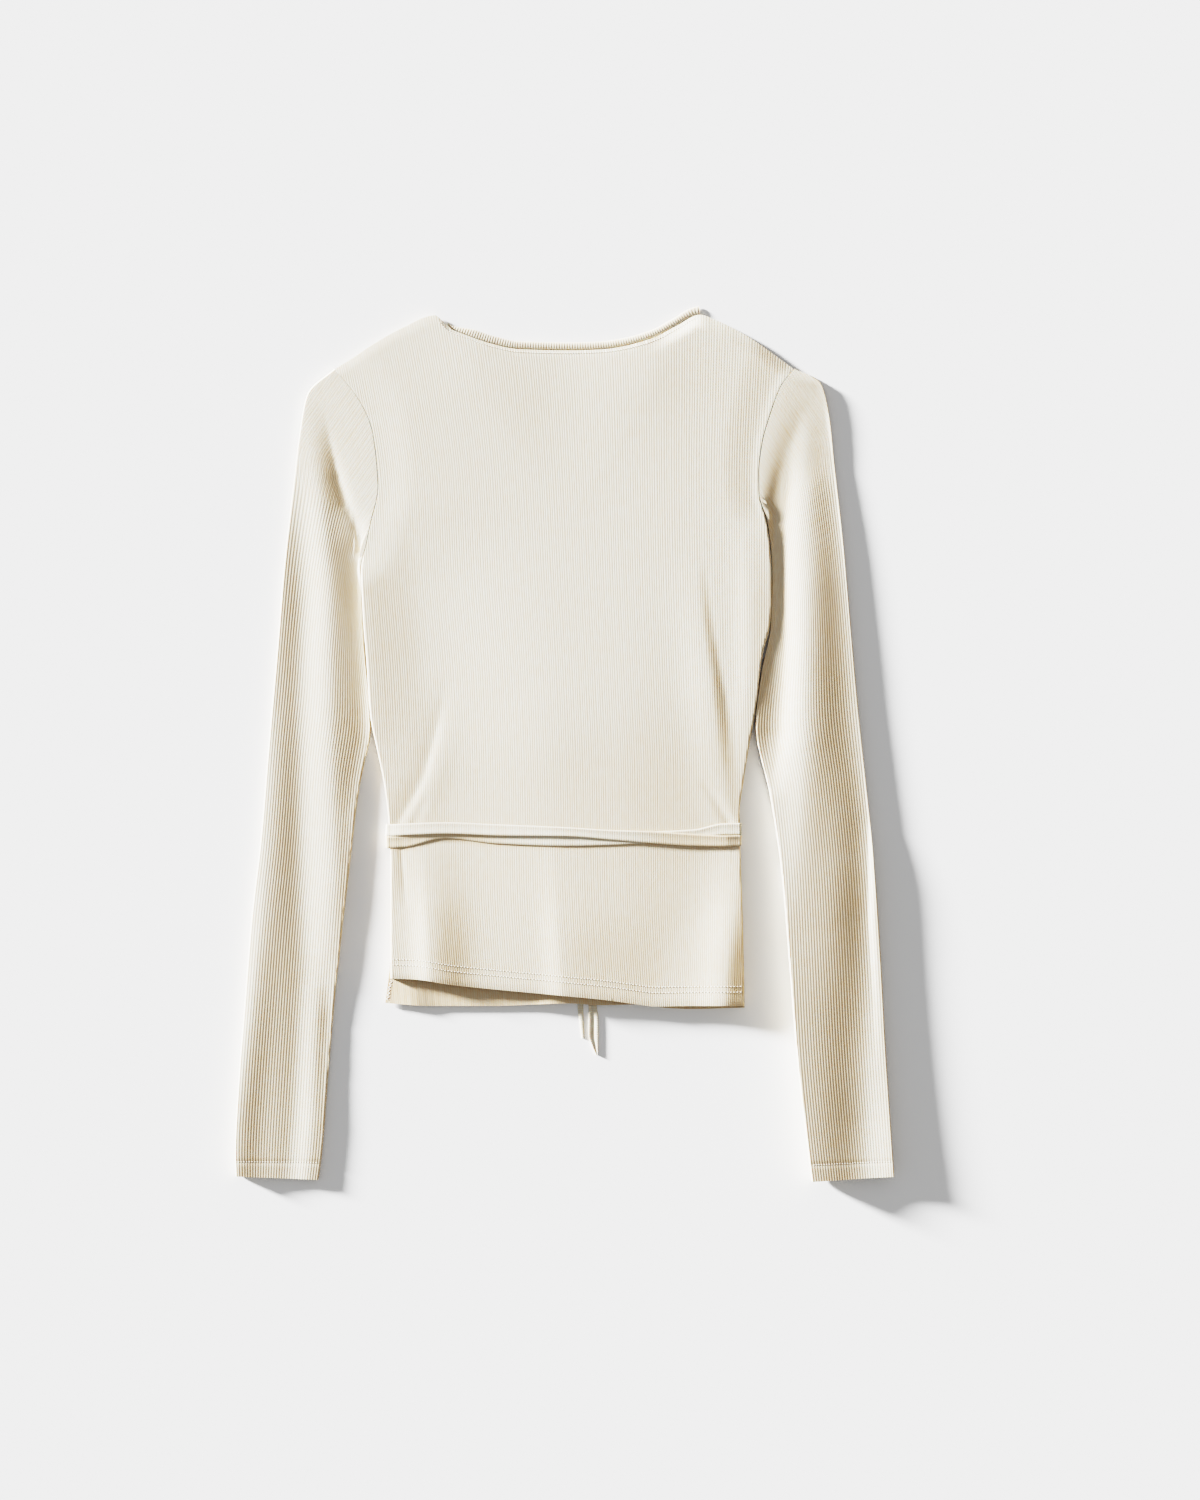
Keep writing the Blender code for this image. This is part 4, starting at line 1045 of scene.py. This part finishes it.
def build_sleeve(side, material):
    places, total, station = sleeve_rows(side)
    place = places[:, None]
    span = sleeve_span(side, station)
    numbers, rise = rib_line(0, SLEEVE_RIBS)
    ribs_across = lerp(float(SLEEVE_RIBS), float(CUFF_RIBS), ease(place / total))
    share = np.minimum(1.0, numbers[None, :] / ribs_across)
    x, y = sleeve_place(side, station, share)
    z = sleeve_top(side, x, y, share, span, place, total)
    u, lengthwise = cap_ribs(side, x, y, place, numbers[None, :])
    inset = np.minimum(share, 1.0 - share) * span
    ribs = SLEEVE_RIB_RISE * lengthwise * rise[None, :] * np.clip(inset / RIB_EDGE, 0.0, 1.0)
    back_share, back_x, back_y, back_z = sleeve_underside(side, station, span)

    skin = Skin()
    ring_u = np.hstack([u, SLEEVE_RIBS * (2.0 - back_share)])
    # painted shade on the upper wall, none on the underside
    warm = np.hstack([sleeve_shade(side, x, y, z), np.zeros_like(back_x)])
    outer = skin.grid(np.hstack([x, back_x]), np.hstack([y, back_y]),
                      np.hstack([z + ribs, back_z]), ring_u, place, warm)
    some = slice(None, None, HOLLOW_STEP)
    edge = HOLLOW_INSET / span
    held = np.clip(np.hstack([share, back_share])[:, some], edge, 1.0 - edge)
    ceiling = np.maximum(z - CLOTH, HOLLOW_EDGE_Z)
    hollow_z = np.hstack([ceiling, back_z + HOLLOW_FLOOR])[:, some]
    hollow_z[:, -1] = hollow_z[:, 0]
    hollow = skin.grid(*sleeve_place(side, station, held), hollow_z, ring_u[:, some], place)
    skin.pipe(outer, hollow, flip=side == "right")
    return skin.build(f"sleeve_{side}_knit", material)


# ---- bindings and ties ----

LINE_SAMPLES = 140  # points at which a curve is read before it is spaced evenly
WRAP_SAMPLES = 60
BAND_PITCH = 2.1
BAND_RISE = 0.24
BAND_HEIGHT = 1.9
# painted shade over the whole of each binding
BAND_PAINTED_SHADE = 0.3
BAND_END_SHARE = 0.6  # bindings thin out towards both ends
BAND_END_LENGTH = 26.0
NECK_CORNER = 9.0  # the back's binding starts this far inside the left neck corner
NECK_CORNER_WIDTH = 0.4  # and with this share of its width
WRAP_BAND_END_Y = -46.0
WRAP_BANDS = {  # neck end and waist end of the edge, its height, and how far down it starts
    "inner": (NECK_LEFT, WRAP_END_RIGHT, LAYER, 15.0),
    "outer": (NECK_RIGHT, WRAP_END_LEFT, 0.0, 15.0),
}
TIE_PITCH = 1.85
BELT_WALL = 0.8  # the ties lie pressed into the waist
BELT_GAP = 0.1
BELT_RISE = 0.08
BELT_LINES = (-64.0, -70.0, -76.0, -82.0)  # heights at which the back holds up the ties
UNDER_TIE = BELT_WALL + BELT_RISE  # upper face of a tie that lies on the table
SIDE_TURN = {"left": -140.8, "right": 141.8}  # where the ties turn round the sides
TURN_RADIUS = 1.4
TURN_SHARE = 0.45  # most of a straight stretch that a rounded corner takes
TURN_POINTS = 5
TIE_ROOT_X = -131.8
# How much thicker a tie is along its lower edge than along its upper one, by (x, excess)
TIE_A_LEAN = smooth_curve(((-138.0, 0.9), (-70.0, 0.9), (20.0, 0.4), (90.0, -0.25),
                           (140.0, -0.3)))
TIE_B_LEAN = smooth_curve(((-138.0, -0.4), (-90.0, -0.4), (-30.0, 0.0), (60.0, 0.2),
                           (140.0, 0.1)))
LEAN_SHADE = 0.4  # excess along the upper edge at which a tie's shade would be full
LEAN_SHADE_MOST = 0.7
TIE_END_WALL = 1.35
TieEnd = namedtuple("TieEnd", "y left right")
TIE_END_A = [TieEnd(*row) for row in (
    (-86.3, 12, 17), (-150, 11.6, 16.6), (-207.6, 11.6, 16.2), (-224, 13.4, 16.8),
    (-234.8, 14.8, 17.2),
)]
TIE_END_B = [TieEnd(*row) for row in (
    (-86.3, 20, 30), (-150, 20.4, 29.4), (-207.6, 20.4, 26.8), (-218, 20.6, 28.2),
    (-232, 20.4, 28.4), (-241, 23.2, 28.2), (-248.4, 26.6, 27.8),
)]
KNOT_LOW = (11.0, -86.0, 0.0)
KNOT_HIGH = (33.0, -60.0, 3.0)
KNOT_LOBES, KNOT_LOBE_DEPTH, KNOT_LOBE_START = 3.0, 0.1, 1.0
KNOT_RIBS = 6.0
KNOT_ROUND, KNOT_TALL = 49, 25  # points round it and up it
KNOT_EDGE, KNOT_OUTLINE, KNOT_TOP = 0.35, 0.6, 0.5  # powers that square the pad off

# Profiles: shares across a strip, and shares of its height there
BAND_PROFILE = np.array((  # from the sewn edge
    (0.0, 0.0), (0.0, 0.35), (0.06, 0.66), (0.2, 0.88), (0.4, 1.0), (0.6, 1.0), (0.8, 0.9),
    (0.94, 0.68), (1.0, 0.4), (1.0, 0.0),
)).T
TIE_PROFILE = np.array((  # from the lower edge
    (0.5, 0.0), (0.1, 0.0), (0.0, 0.25), (0.0, 0.55), (0.05, 0.8), (0.14, 0.98), (0.26, 0.85),
    (0.5, 0.8), (0.74, 0.88), (0.86, 1.1), (0.95, 1.05), (1.0, 0.72), (1.0, 0.3), (0.9, 0.0),
)).T
ROLLED_PROFILE = np.array((  # from the left edge
    (0.5, 0.0), (0.06, 0.0), (0.0, 0.2), (0.05, 0.42), (0.2, 0.56), (0.4, 0.64), (0.6, 0.66),
    (0.8, 0.6), (0.94, 0.48), (1.0, 0.25), (0.94, 0.0),
)).T
FOLDED_PROFILE = np.array((
    (0.5, 0.0), (0.06, 0.0), (0.0, 0.4), (0.02, 0.95), (0.08, 1.0), (0.3, 0.72), (0.5, 0.5),
    (0.58, 0.55), (0.72, 0.85), (0.85, 1.0), (0.96, 0.9), (1.0, 0.4), (0.94, 0.0),
)).T
FACE_SHARE = 0.5  # above this share of its height, a tie's profile is its ribbed face
RIM_SHARE = 0.7  # and below this one it is its shaded rim


def polyline_lengths(points):
    steps = np.hypot(*np.diff(np.array(points), axis=0).T)
    return np.concatenate([[0.0], np.cumsum(steps)])


def resample(points, step):
    """Points evenly spaced along a line, and the distance to each."""
    points = np.array(points, float)
    lengths = polyline_lengths(points)
    count = max(2, round(lengths[-1] / step))
    at = np.linspace(0.0, lengths[-1], count + 1)
    return np.stack([np.interp(at, lengths, column) for column in points.T], -1), at


def ways_along(points):
    """Unit vectors along a line of (x, y) points."""
    run = np.gradient(points, axis=0)
    return run / np.hypot(run[:, 0], run[:, 1])[:, None]


def side_normals(points):
    """Unit vectors to the left of the way a line of (x, y) points runs."""
    way = ways_along(points)
    return np.stack([-way[:, 1], way[:, 0]], -1)


def build_binding(name, material, edge, base, height, flip=False, first_width=1.0):
    """A rounded strip along an edge, ribbed across, on the left of the way it runs or, with
    flip, on its right. base(x, y) is its underside, and first_width the share of its width
    at the start."""
    line, at = resample(edge, BAND_PITCH / len(RIB_COLUMNS))
    normal = side_normals(line) * (-1.0 if flip else 1.0)
    across, tall = BAND_PROFILE
    width = BAND_WIDTH * lerp(first_width, 1.0, ease(at / BAND_END_LENGTH))
    out = GAP + across * width[:, None]
    x = line[:, :1] + normal[:, :1] * out
    y = line[:, 1:] + normal[:, 1:] * out
    low = base(line[:, 0], line[:, 1])[:, None]
    to_end = np.minimum(at, at[-1] - at)[:, None]
    height = height * lerp(BAND_END_SHARE, 1.0, ease(to_end / BAND_END_LENGTH))
    z = low + tall * (height + BAND_RISE * rib_rise(len(line))[:, None])
    skin = Skin()
    v = GAP + np.append(across, across[-1] + 1.0) * BAND_WIDTH
    skin.strip(*closed(x, y, z), at[:, None] / BAND_PITCH, v, BAND_PAINTED_SHADE, flip)
    return skin.build(name, material)


def build_neckband_back(material):
    xs = np.linspace(NECK_LEFT[0] + NECK_CORNER, NECK_RIGHT[0], LINE_SAMPLES)
    edge = np.stack([xs, TOP_EDGE(xs)], -1)
    return build_binding("neckband_back_knit", material, edge, back_base, BAND_HEIGHT,
                         first_width=NECK_CORNER_WIDTH)


def build_wrap_band(which, material):
    neck, end, base_z, start = WRAP_BANDS[which]
    heights = np.linspace(neck[1] - start, WRAP_BAND_END_Y, WRAP_SAMPLES)
    edge = np.stack([wrap_x(neck, end, heights), heights], -1)

    def base(x, y):
        return base_z + lift(x, y)

    return build_binding(f"neckband_{which}_knit", material, edge, base, CLOTH,
                         flip=end[0] < neck[0])


def back_top(x):
    """Height the ties lie at: over the highest cloth under them."""
    rows = [back_surface(x, np.full_like(x, y)) for y in BELT_LINES]
    return np.max(rows, axis=0) + RIB_RISE + BELT_GAP


def rounded_path(points, radius, step):
    """A line of (x, z) points with its corners rounded, evenly spaced."""
    line = np.array(points, float)
    smooth = [line[0]]
    for a, b, c in zip(line, line[1:], line[2:]):
        before, after = np.linalg.norm(b - a), np.linalg.norm(c - b)
        near = b + (a - b) * min(radius / before, TURN_SHARE)
        far = b + (c - b) * min(radius / after, TURN_SHARE)
        for t in np.linspace(0.0, 1.0, TURN_POINTS):
            smooth.append(lerp(lerp(near, b, t), lerp(b, far, t), t))
    smooth.append(line[-1])
    return resample(smooth, step)


def build_strap(name, material, path, high, low, lean):
    """A tie whose inner face follows a path of (x, z) points, with its outer face to the
    left. high(x) and low(x) are its edges, and lean(x) is its excess along the lower one."""
    line, at = rounded_path(path, TURN_RADIUS, TIE_PITCH / len(RIB_COLUMNS))
    out = side_normals(line)
    across, tall = TIE_PROFILE
    face = tall > FACE_SHARE
    leaning = lean(line[:, 0])[:, None]
    thick = tall * (BELT_WALL + BELT_RISE * rib_rise(len(line))[:, None] * face)
    thick = thick + face * leaning * (0.5 - across)
    x = line[:, :1] + out[:, :1] * thick
    z = line[:, 1:] + out[:, 1:] * thick
    y = lerp(low(line[:, 0])[:, None], high(line[:, 0])[:, None], across)
    x, y, z = closed(x, y, z)
    rim = np.append(tall < RIM_SHARE, True)
    # painted shade on each tie's rims, and where it is thicker along its upper edge
    warm = np.maximum(rim, np.clip(-leaning / LEAN_SHADE, 0.0, LEAN_SHADE_MOST))
    skin = Skin()
    skin.strip(x, y, z, at[:, None] / TIE_PITCH, y, warm)
    return skin.build(name, material)


def tie_across(over, left_z, right_z):
    """Inner face of a tie, from left_z on the left side over the back to right_z on the right
    side."""
    xs = np.linspace(TIE_CROSSING[0].x, TIE_CROSSING[-1].x, WRAP_SAMPLES)
    zs = back_top(xs) + (CROSSING_AT["over"](xs) * (UNDER_TIE + BELT_GAP) if over else 0.0)
    left, right = SIDE_TURN["left"], SIDE_TURN["right"]
    return [(left, left_z), (left, zs[0]), *zip(xs, zs), (right, zs[-1]), (right, right_z)]


def build_tie_a(material):
    """From the left side seam over the back and round the right side to the knot."""
    root_z = TIE_LIFT + CLOTH
    path = [(TIE_ROOT_X, root_z), *tie_across(True, root_z, UNDER_TIE),
            (KNOT_HIGH[0] + GAP, UNDER_TIE)]
    return build_strap("tie_a_knit", material, path, CROSSING_AT["a_high"],
                       CROSSING_AT["a_low"], TIE_A_LEAN)


def build_tie_b(material):
    """From the knot round the left side and over the back to the right side seam."""
    path = [(KNOT_LOW[0] - GAP, UNDER_TIE),
            *tie_across(False, UNDER_TIE, 2.0 * LAYER + TIE_LIFT)]
    return build_strap("tie_b_knit", material, path, CROSSING_AT["b_high"],
                       CROSSING_AT["b_low"], TIE_B_LEAN)


def build_tie_end(name, table, profile, material):
    """The end of a tie, folded along its length, with its ribs across."""
    ys = np.arange(table[0].y, table[-1].y, -TIE_PITCH / len(RIB_COLUMNS))
    left = smooth_curve([(row.y, row.left) for row in table])(ys)[:, None]
    right = smooth_curve([(row.y, row.right) for row in table])(ys)[:, None]
    across, tall = profile
    x = lerp(left, right, across)
    rise = rib_rise(len(ys))[:, None] * (tall > FACE_SHARE)
    z = tall * (TIE_END_WALL + BAND_RISE * rise)
    x, y, z = closed(x, np.broadcast_to(ys[:, None], x.shape), z)
    skin = Skin()
    skin.strip(x, y, z, -y / TIE_PITCH, x, flip=True)
    return skin.build(name, material)


def squared(value, power):
    """A sine or cosine brought closer to a square wave, for a power below 1."""
    return np.sign(value) * np.abs(value) ** power


def build_knot(material):
    """The knot: a rounded, lobed pad."""
    low, high = np.array(KNOT_LOW), np.array(KNOT_HIGH)
    centre, half = (low + high) / 2.0, (high - low) / 2.0
    turn = np.linspace(0.0, 2.0 * math.pi, KNOT_ROUND)[None, :]
    rise = np.linspace(-math.pi / 2.0, math.pi / 2.0, KNOT_TALL)[:, None]
    lobes = KNOT_LOBE_DEPTH * (np.cos(KNOT_LOBES * turn + KNOT_LOBE_START) - 1.0) + 1.0
    reach = squared(np.cos(rise), KNOT_EDGE) * lobes
    x = centre[0] + half[0] * reach * squared(np.cos(turn), KNOT_OUTLINE)
    y = centre[1] + half[1] * reach * squared(np.sin(turn), KNOT_OUTLINE)
    z = centre[2] + half[2] * squared(np.sin(rise), KNOT_TOP) + 0.0 * turn
    skin = Skin()
    skin.cover(skin.grid(x, y, z, turn * KNOT_RIBS, y), flip=True)
    return skin.build("knot_knit", material)


# ---- sewing ----

HEM_SAMPLES, NECK_SAMPLES, CUFF_SAMPLES = 80, 90, 60
DASH_RADIUS = 0.22
DASH_SIDES = 6
DASH_HEIGHT = 0.1  # of a stitch's line over the cloth, to which DASH_RINGS add
DASH_RINGS = ((0.0, 0.3, -0.2), (0.25, 1.0, 0.1), (0.75, 1.0, 0.1), (1.0, 0.3, -0.2))
HEM_STITCHES = (2.6, 1.7)  # step and length of the stitches
HEM_STITCH_ROWS = (11.0, 15.5)  # above the hem
HEM_STITCH_ENDS = (-135.0, 142.0)
NECK_STITCHES = (2.1, 1.2)
NECK_STITCH_ENDS = (NECK_LEFT[0] + 6.0, NECK_RIGHT[0] - 6.0)
NECK_STITCH_INSET = 2.2
CUFF_STITCHES = (2.1, 1.3)
CUFF_STITCH_ENDS = (0.05, 0.95)  # shares of the way across the sleeve
OVERLOCK_EDGE = ((-138.4, -188.5), (-140.2, -196.0), (-141.6, -205.0))
OVERLOCK_STEP = 1.5
OVERLOCK_BITE = np.array([3.0, 0.6])
OVERLOCK_Z = LAYER + CLOTH + DASH_HEIGHT


def add_dash(skin, start, end):
    """One stitch: a short thread that dips at both ends. DASH_RINGS has its rings' share of
    the way, share of its radius and rise."""
    start, end = np.array(start), np.array(end)
    up = np.array([0.0, 0.0, 1.0])
    side = np.cross(up, end - start)
    side /= np.linalg.norm(side)
    turn = np.linspace(0.0, 2.0 * math.pi, DASH_SIDES + 1)[:, None]
    rings = [lerp(start, end, along) + rise * up
             + DASH_RADIUS * thick * (np.cos(turn) * side + np.sin(turn) * up)
             for along, thick, rise in DASH_RINGS]
    skin.strip(*np.moveaxis(np.stack(rings), -1, 0), 0.0, 0.0)


def stitch_row(skin, line, surface, stitches):
    """Stitches along a line of (x, y) points, on a surface(x, y)."""
    step, length = stitches
    points, _ = resample(line, step)
    for point, way in zip(points, ways_along(points)):
        ends = np.stack([point - way * length / 2.0, point + way * length / 2.0])
        z = surface(ends[:, 0], ends[:, 1]) + DASH_HEIGHT
        add_dash(skin, *np.column_stack([ends, z]))


def build_hem_stitching(material):
    skin = Skin()
    xs = np.linspace(*HEM_STITCH_ENDS, HEM_SAMPLES)
    for above in HEM_STITCH_ROWS:
        stitch_row(skin, np.stack([xs, BACK_HEM(xs) + above], -1), back_surface, HEM_STITCHES)
    return skin.build("hem_stitching", material)


def build_neck_stitching(material):
    skin = Skin()
    xs = np.linspace(*NECK_STITCH_ENDS, NECK_SAMPLES)
    line = np.stack([xs, TOP_EDGE(xs)], -1)
    line = line - side_normals(line) * NECK_STITCH_INSET
    stitch_row(skin, line, back_surface, NECK_STITCHES)
    return skin.build("neck_stitching", material)


def build_cuff_stitching(side, material):
    skin = Skin()
    places, total, station = sleeve_rows(side)
    row = int(np.argmin(np.abs(places - (total - CUFF_STITCH))))
    here = Station(*[column[row:row + 1] for column in station])
    share = np.linspace(*CUFF_STITCH_ENDS, CUFF_SAMPLES)[None, :]
    x, y = sleeve_place(side, here, share)
    span = math.hypot(here.outer_x[0, 0] - here.inner_x[0, 0],
                      here.outer_y[0, 0] - here.inner_y[0, 0])
    order = np.argsort(x[0])

    def surface(px, py):
        across = np.interp(px, x[0, order], share[0, order])
        return sleeve_top(side, px, py, across, span, places[row], total)

    stitch_row(skin, np.stack([x[0], y[0]], -1), surface, CUFF_STITCHES)
    return skin.build(f"cuff_{side}_stitching", material)


def build_overlock(material):
    """Zigzag on the inner front's allowance, where it shows below the back's left corner."""
    skin = Skin()
    points, _ = resample(OVERLOCK_EDGE, OVERLOCK_STEP)
    points[1::2] += OVERLOCK_BITE
    for a, b in zip(points, points[1:]):
        add_dash(skin, (*a, OVERLOCK_Z), (*b, OVERLOCK_Z))
    return skin.build("overlock", material)


# ---- assembly ----


SEWING = {  # each piece's builder, and the node whose cloth it is sewn on
    "hem_stitching": (build_hem_stitching, "back"),
    "neck_stitching": (build_neck_stitching, "back"),
    "overlock": (build_overlock, "front_inner"),
    "cuff_left_stitching": (partial(build_cuff_stitching, "left"), "sleeve_left"),
    "cuff_right_stitching": (partial(build_cuff_stitching, "right"), "sleeve_right"),
}
# The cloth piece for each node: its builder, the size and area of its cut in metres, what it
# rests on and the sewing on it
Sheet = namedtuple("Sheet", "build flat area rests_on sewing", defaults=((),))
SHEETS = {
    "back": Sheet(build_back, (0.367, 0.553), 0.160, ("front_inner_knit", "front_outer_knit"),
                  ("hem_stitching", "neck_stitching")),
    "front_inner": Sheet(build_front_inner, (0.314, 0.552), 0.120, ("front_outer_knit",),
                         ("overlock",)),
    "front_outer": Sheet(build_front_outer, (0.322, 0.555), 0.123, ("floor",)),
    "sleeve_left": Sheet(partial(build_sleeve, "left"), (0.152, 0.63), 0.082, ("floor",),
                         ("cuff_left_stitching",)),
    "sleeve_right": Sheet(partial(build_sleeve, "right"), (0.152, 0.63), 0.082, ("floor",),
                          ("cuff_right_stitching",)),
    "neckband_back": Sheet(build_neckband_back, (0.01, 0.24), 0.0019, ("back_knit",)),
    "neckband_inner": Sheet(partial(build_wrap_band, "inner"), (0.01, 0.45), 0.0034,
                            ("front_outer_knit",)),
    "neckband_outer": Sheet(partial(build_wrap_band, "outer"), (0.01, 0.46), 0.0034,
                            ("floor",)),
    "tie_a": Sheet(build_tie_a, (0.019, 0.42), 0.0052, ("tie_b_knit",)),
    "tie_b": Sheet(build_tie_b, (0.019, 0.46), 0.0055, ("back_knit",)),
    "knot": Sheet(build_knot, (0.022, 0.026), None, ("floor",)),
    "tie_end_a": Sheet(partial(build_tie_end, "tie_end_a_knit", TIE_END_A, ROLLED_PROFILE),
                       (0.0112, 0.1485), 0.0010, ("floor",)),
    "tie_end_b": Sheet(partial(build_tie_end, "tie_end_b_knit", TIE_END_B, FOLDED_PROFILE),
                       (0.019, 0.1621), 0.0018, ("floor",)),
}


def build_garment():
    """Puts each cloth piece in the place of its solid, with its sewing."""
    thread = thread_material()
    sewn = {}
    for name, (build, node) in SEWING.items():
        sewn[name] = build(thread)
        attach(sewn[name], "root")
    for node, sheet in SHEETS.items():
        piece = sheet.build(knit_material(node + "_knit"))
        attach(piece, "root")
        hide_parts(node)
        list(sheet.rests_on)
        [sewn[name] for name in sheet.sewing]


# ---- stage ----

FLOOR_SIZE = 40.0
FLOOR_Z = -0.0001
FLOOR_COLOUR = (0.94, 0.94, 0.94, 1.0)
FLOOR_GRAIN = (0.6, 0.6, 0.6, 1.0)
FLOOR_GRAIN_SCALE = 3.0
FLOOR_GRAIN_MOST = 0.02
KEY_ELEVATION = math.radians(9.6)
KEY_STRENGTH = 25.8
KEY_ANGLE = math.radians(7.0)
KEY_PLACE = (-1.0, 0.5, 1.0)  # only for the eye: a sun shines alike from everywhere
SKY_COLOUR = (1.0, 1.0, 1.0, 1.0)
FILL_STRENGTH = 0.36
CAMERA_PLACE = (0.0296, -0.0044, 3.0)
CAMERA_SENSOR = 36.0
VIEW_TALL = 1.2  # height of table in view


def build_floor():
    half = FLOOR_SIZE / 2.0
    mesh = bpy.data.meshes.new("floor")
    ways = ((-1, -1), (1, -1), (1, 1), (-1, 1))
    corners = [(x * half, y * half, FLOOR_Z) for x, y in ways]
    mesh.from_pydata(corners, [], [(0, 1, 2, 3)])
    material = bpy.data.materials.new("floor_paint")
    nodes = Nodes(material)
    noise = nodes.noise(FLOOR_GRAIN_SCALE, 2.0)
    grain = nodes.ramp(noise, *WIDE_NOISE, 0.0, FLOOR_GRAIN_MOST)
    nodes.surface({"Base Color": nodes.mix(grain, FLOOR_COLOUR, FLOOR_GRAIN), "Roughness": 1.0,
                   "Specular IOR Level": 0.0})
    mesh.materials.append(material)
    place_object("floor", mesh)


def build_light():
    """A low sun from the upper left and a white sky."""
    sun = bpy.data.lights.new("key", "SUN")
    sun.energy = KEY_STRENGTH
    sun.angle = KEY_ANGLE
    flat = math.cos(KEY_ELEVATION)
    way = Vector((KEY_WAY[0] * flat, KEY_WAY[1] * flat, -math.sin(KEY_ELEVATION)))
    lamp = place_object("key", sun)
    lamp.rotation_euler = way.to_track_quat("-Z", "Y").to_euler()
    lamp.location = KEY_PLACE
    world = bpy.data.worlds.new("studio")
    bpy.context.scene.world = world
    world.use_nodes = True
    background = world.node_tree.nodes["Background"]
    background.inputs["Color"].default_value = SKY_COLOUR
    background.inputs["Strength"].default_value = FILL_STRENGTH
    bpy.context.scene.view_settings.view_transform = "Filmic"
    bpy.context.scene.view_settings.look = "Very High Contrast"


def build_camera():
    """A camera straight above the table, as the photo's."""
    data = bpy.data.cameras.new("camera")
    data.sensor_fit = "AUTO"
    data.sensor_width = CAMERA_SENSOR
    data.lens = CAMERA_SENSOR * CAMERA_PLACE[2] / VIEW_TALL
    camera = place_object("camera", data)
    camera.location = CAMERA_PLACE
    bpy.context.scene.camera = camera


build_camera()
build_floor()
build_light()
build_garment()
bpy.context.view_layer.update()
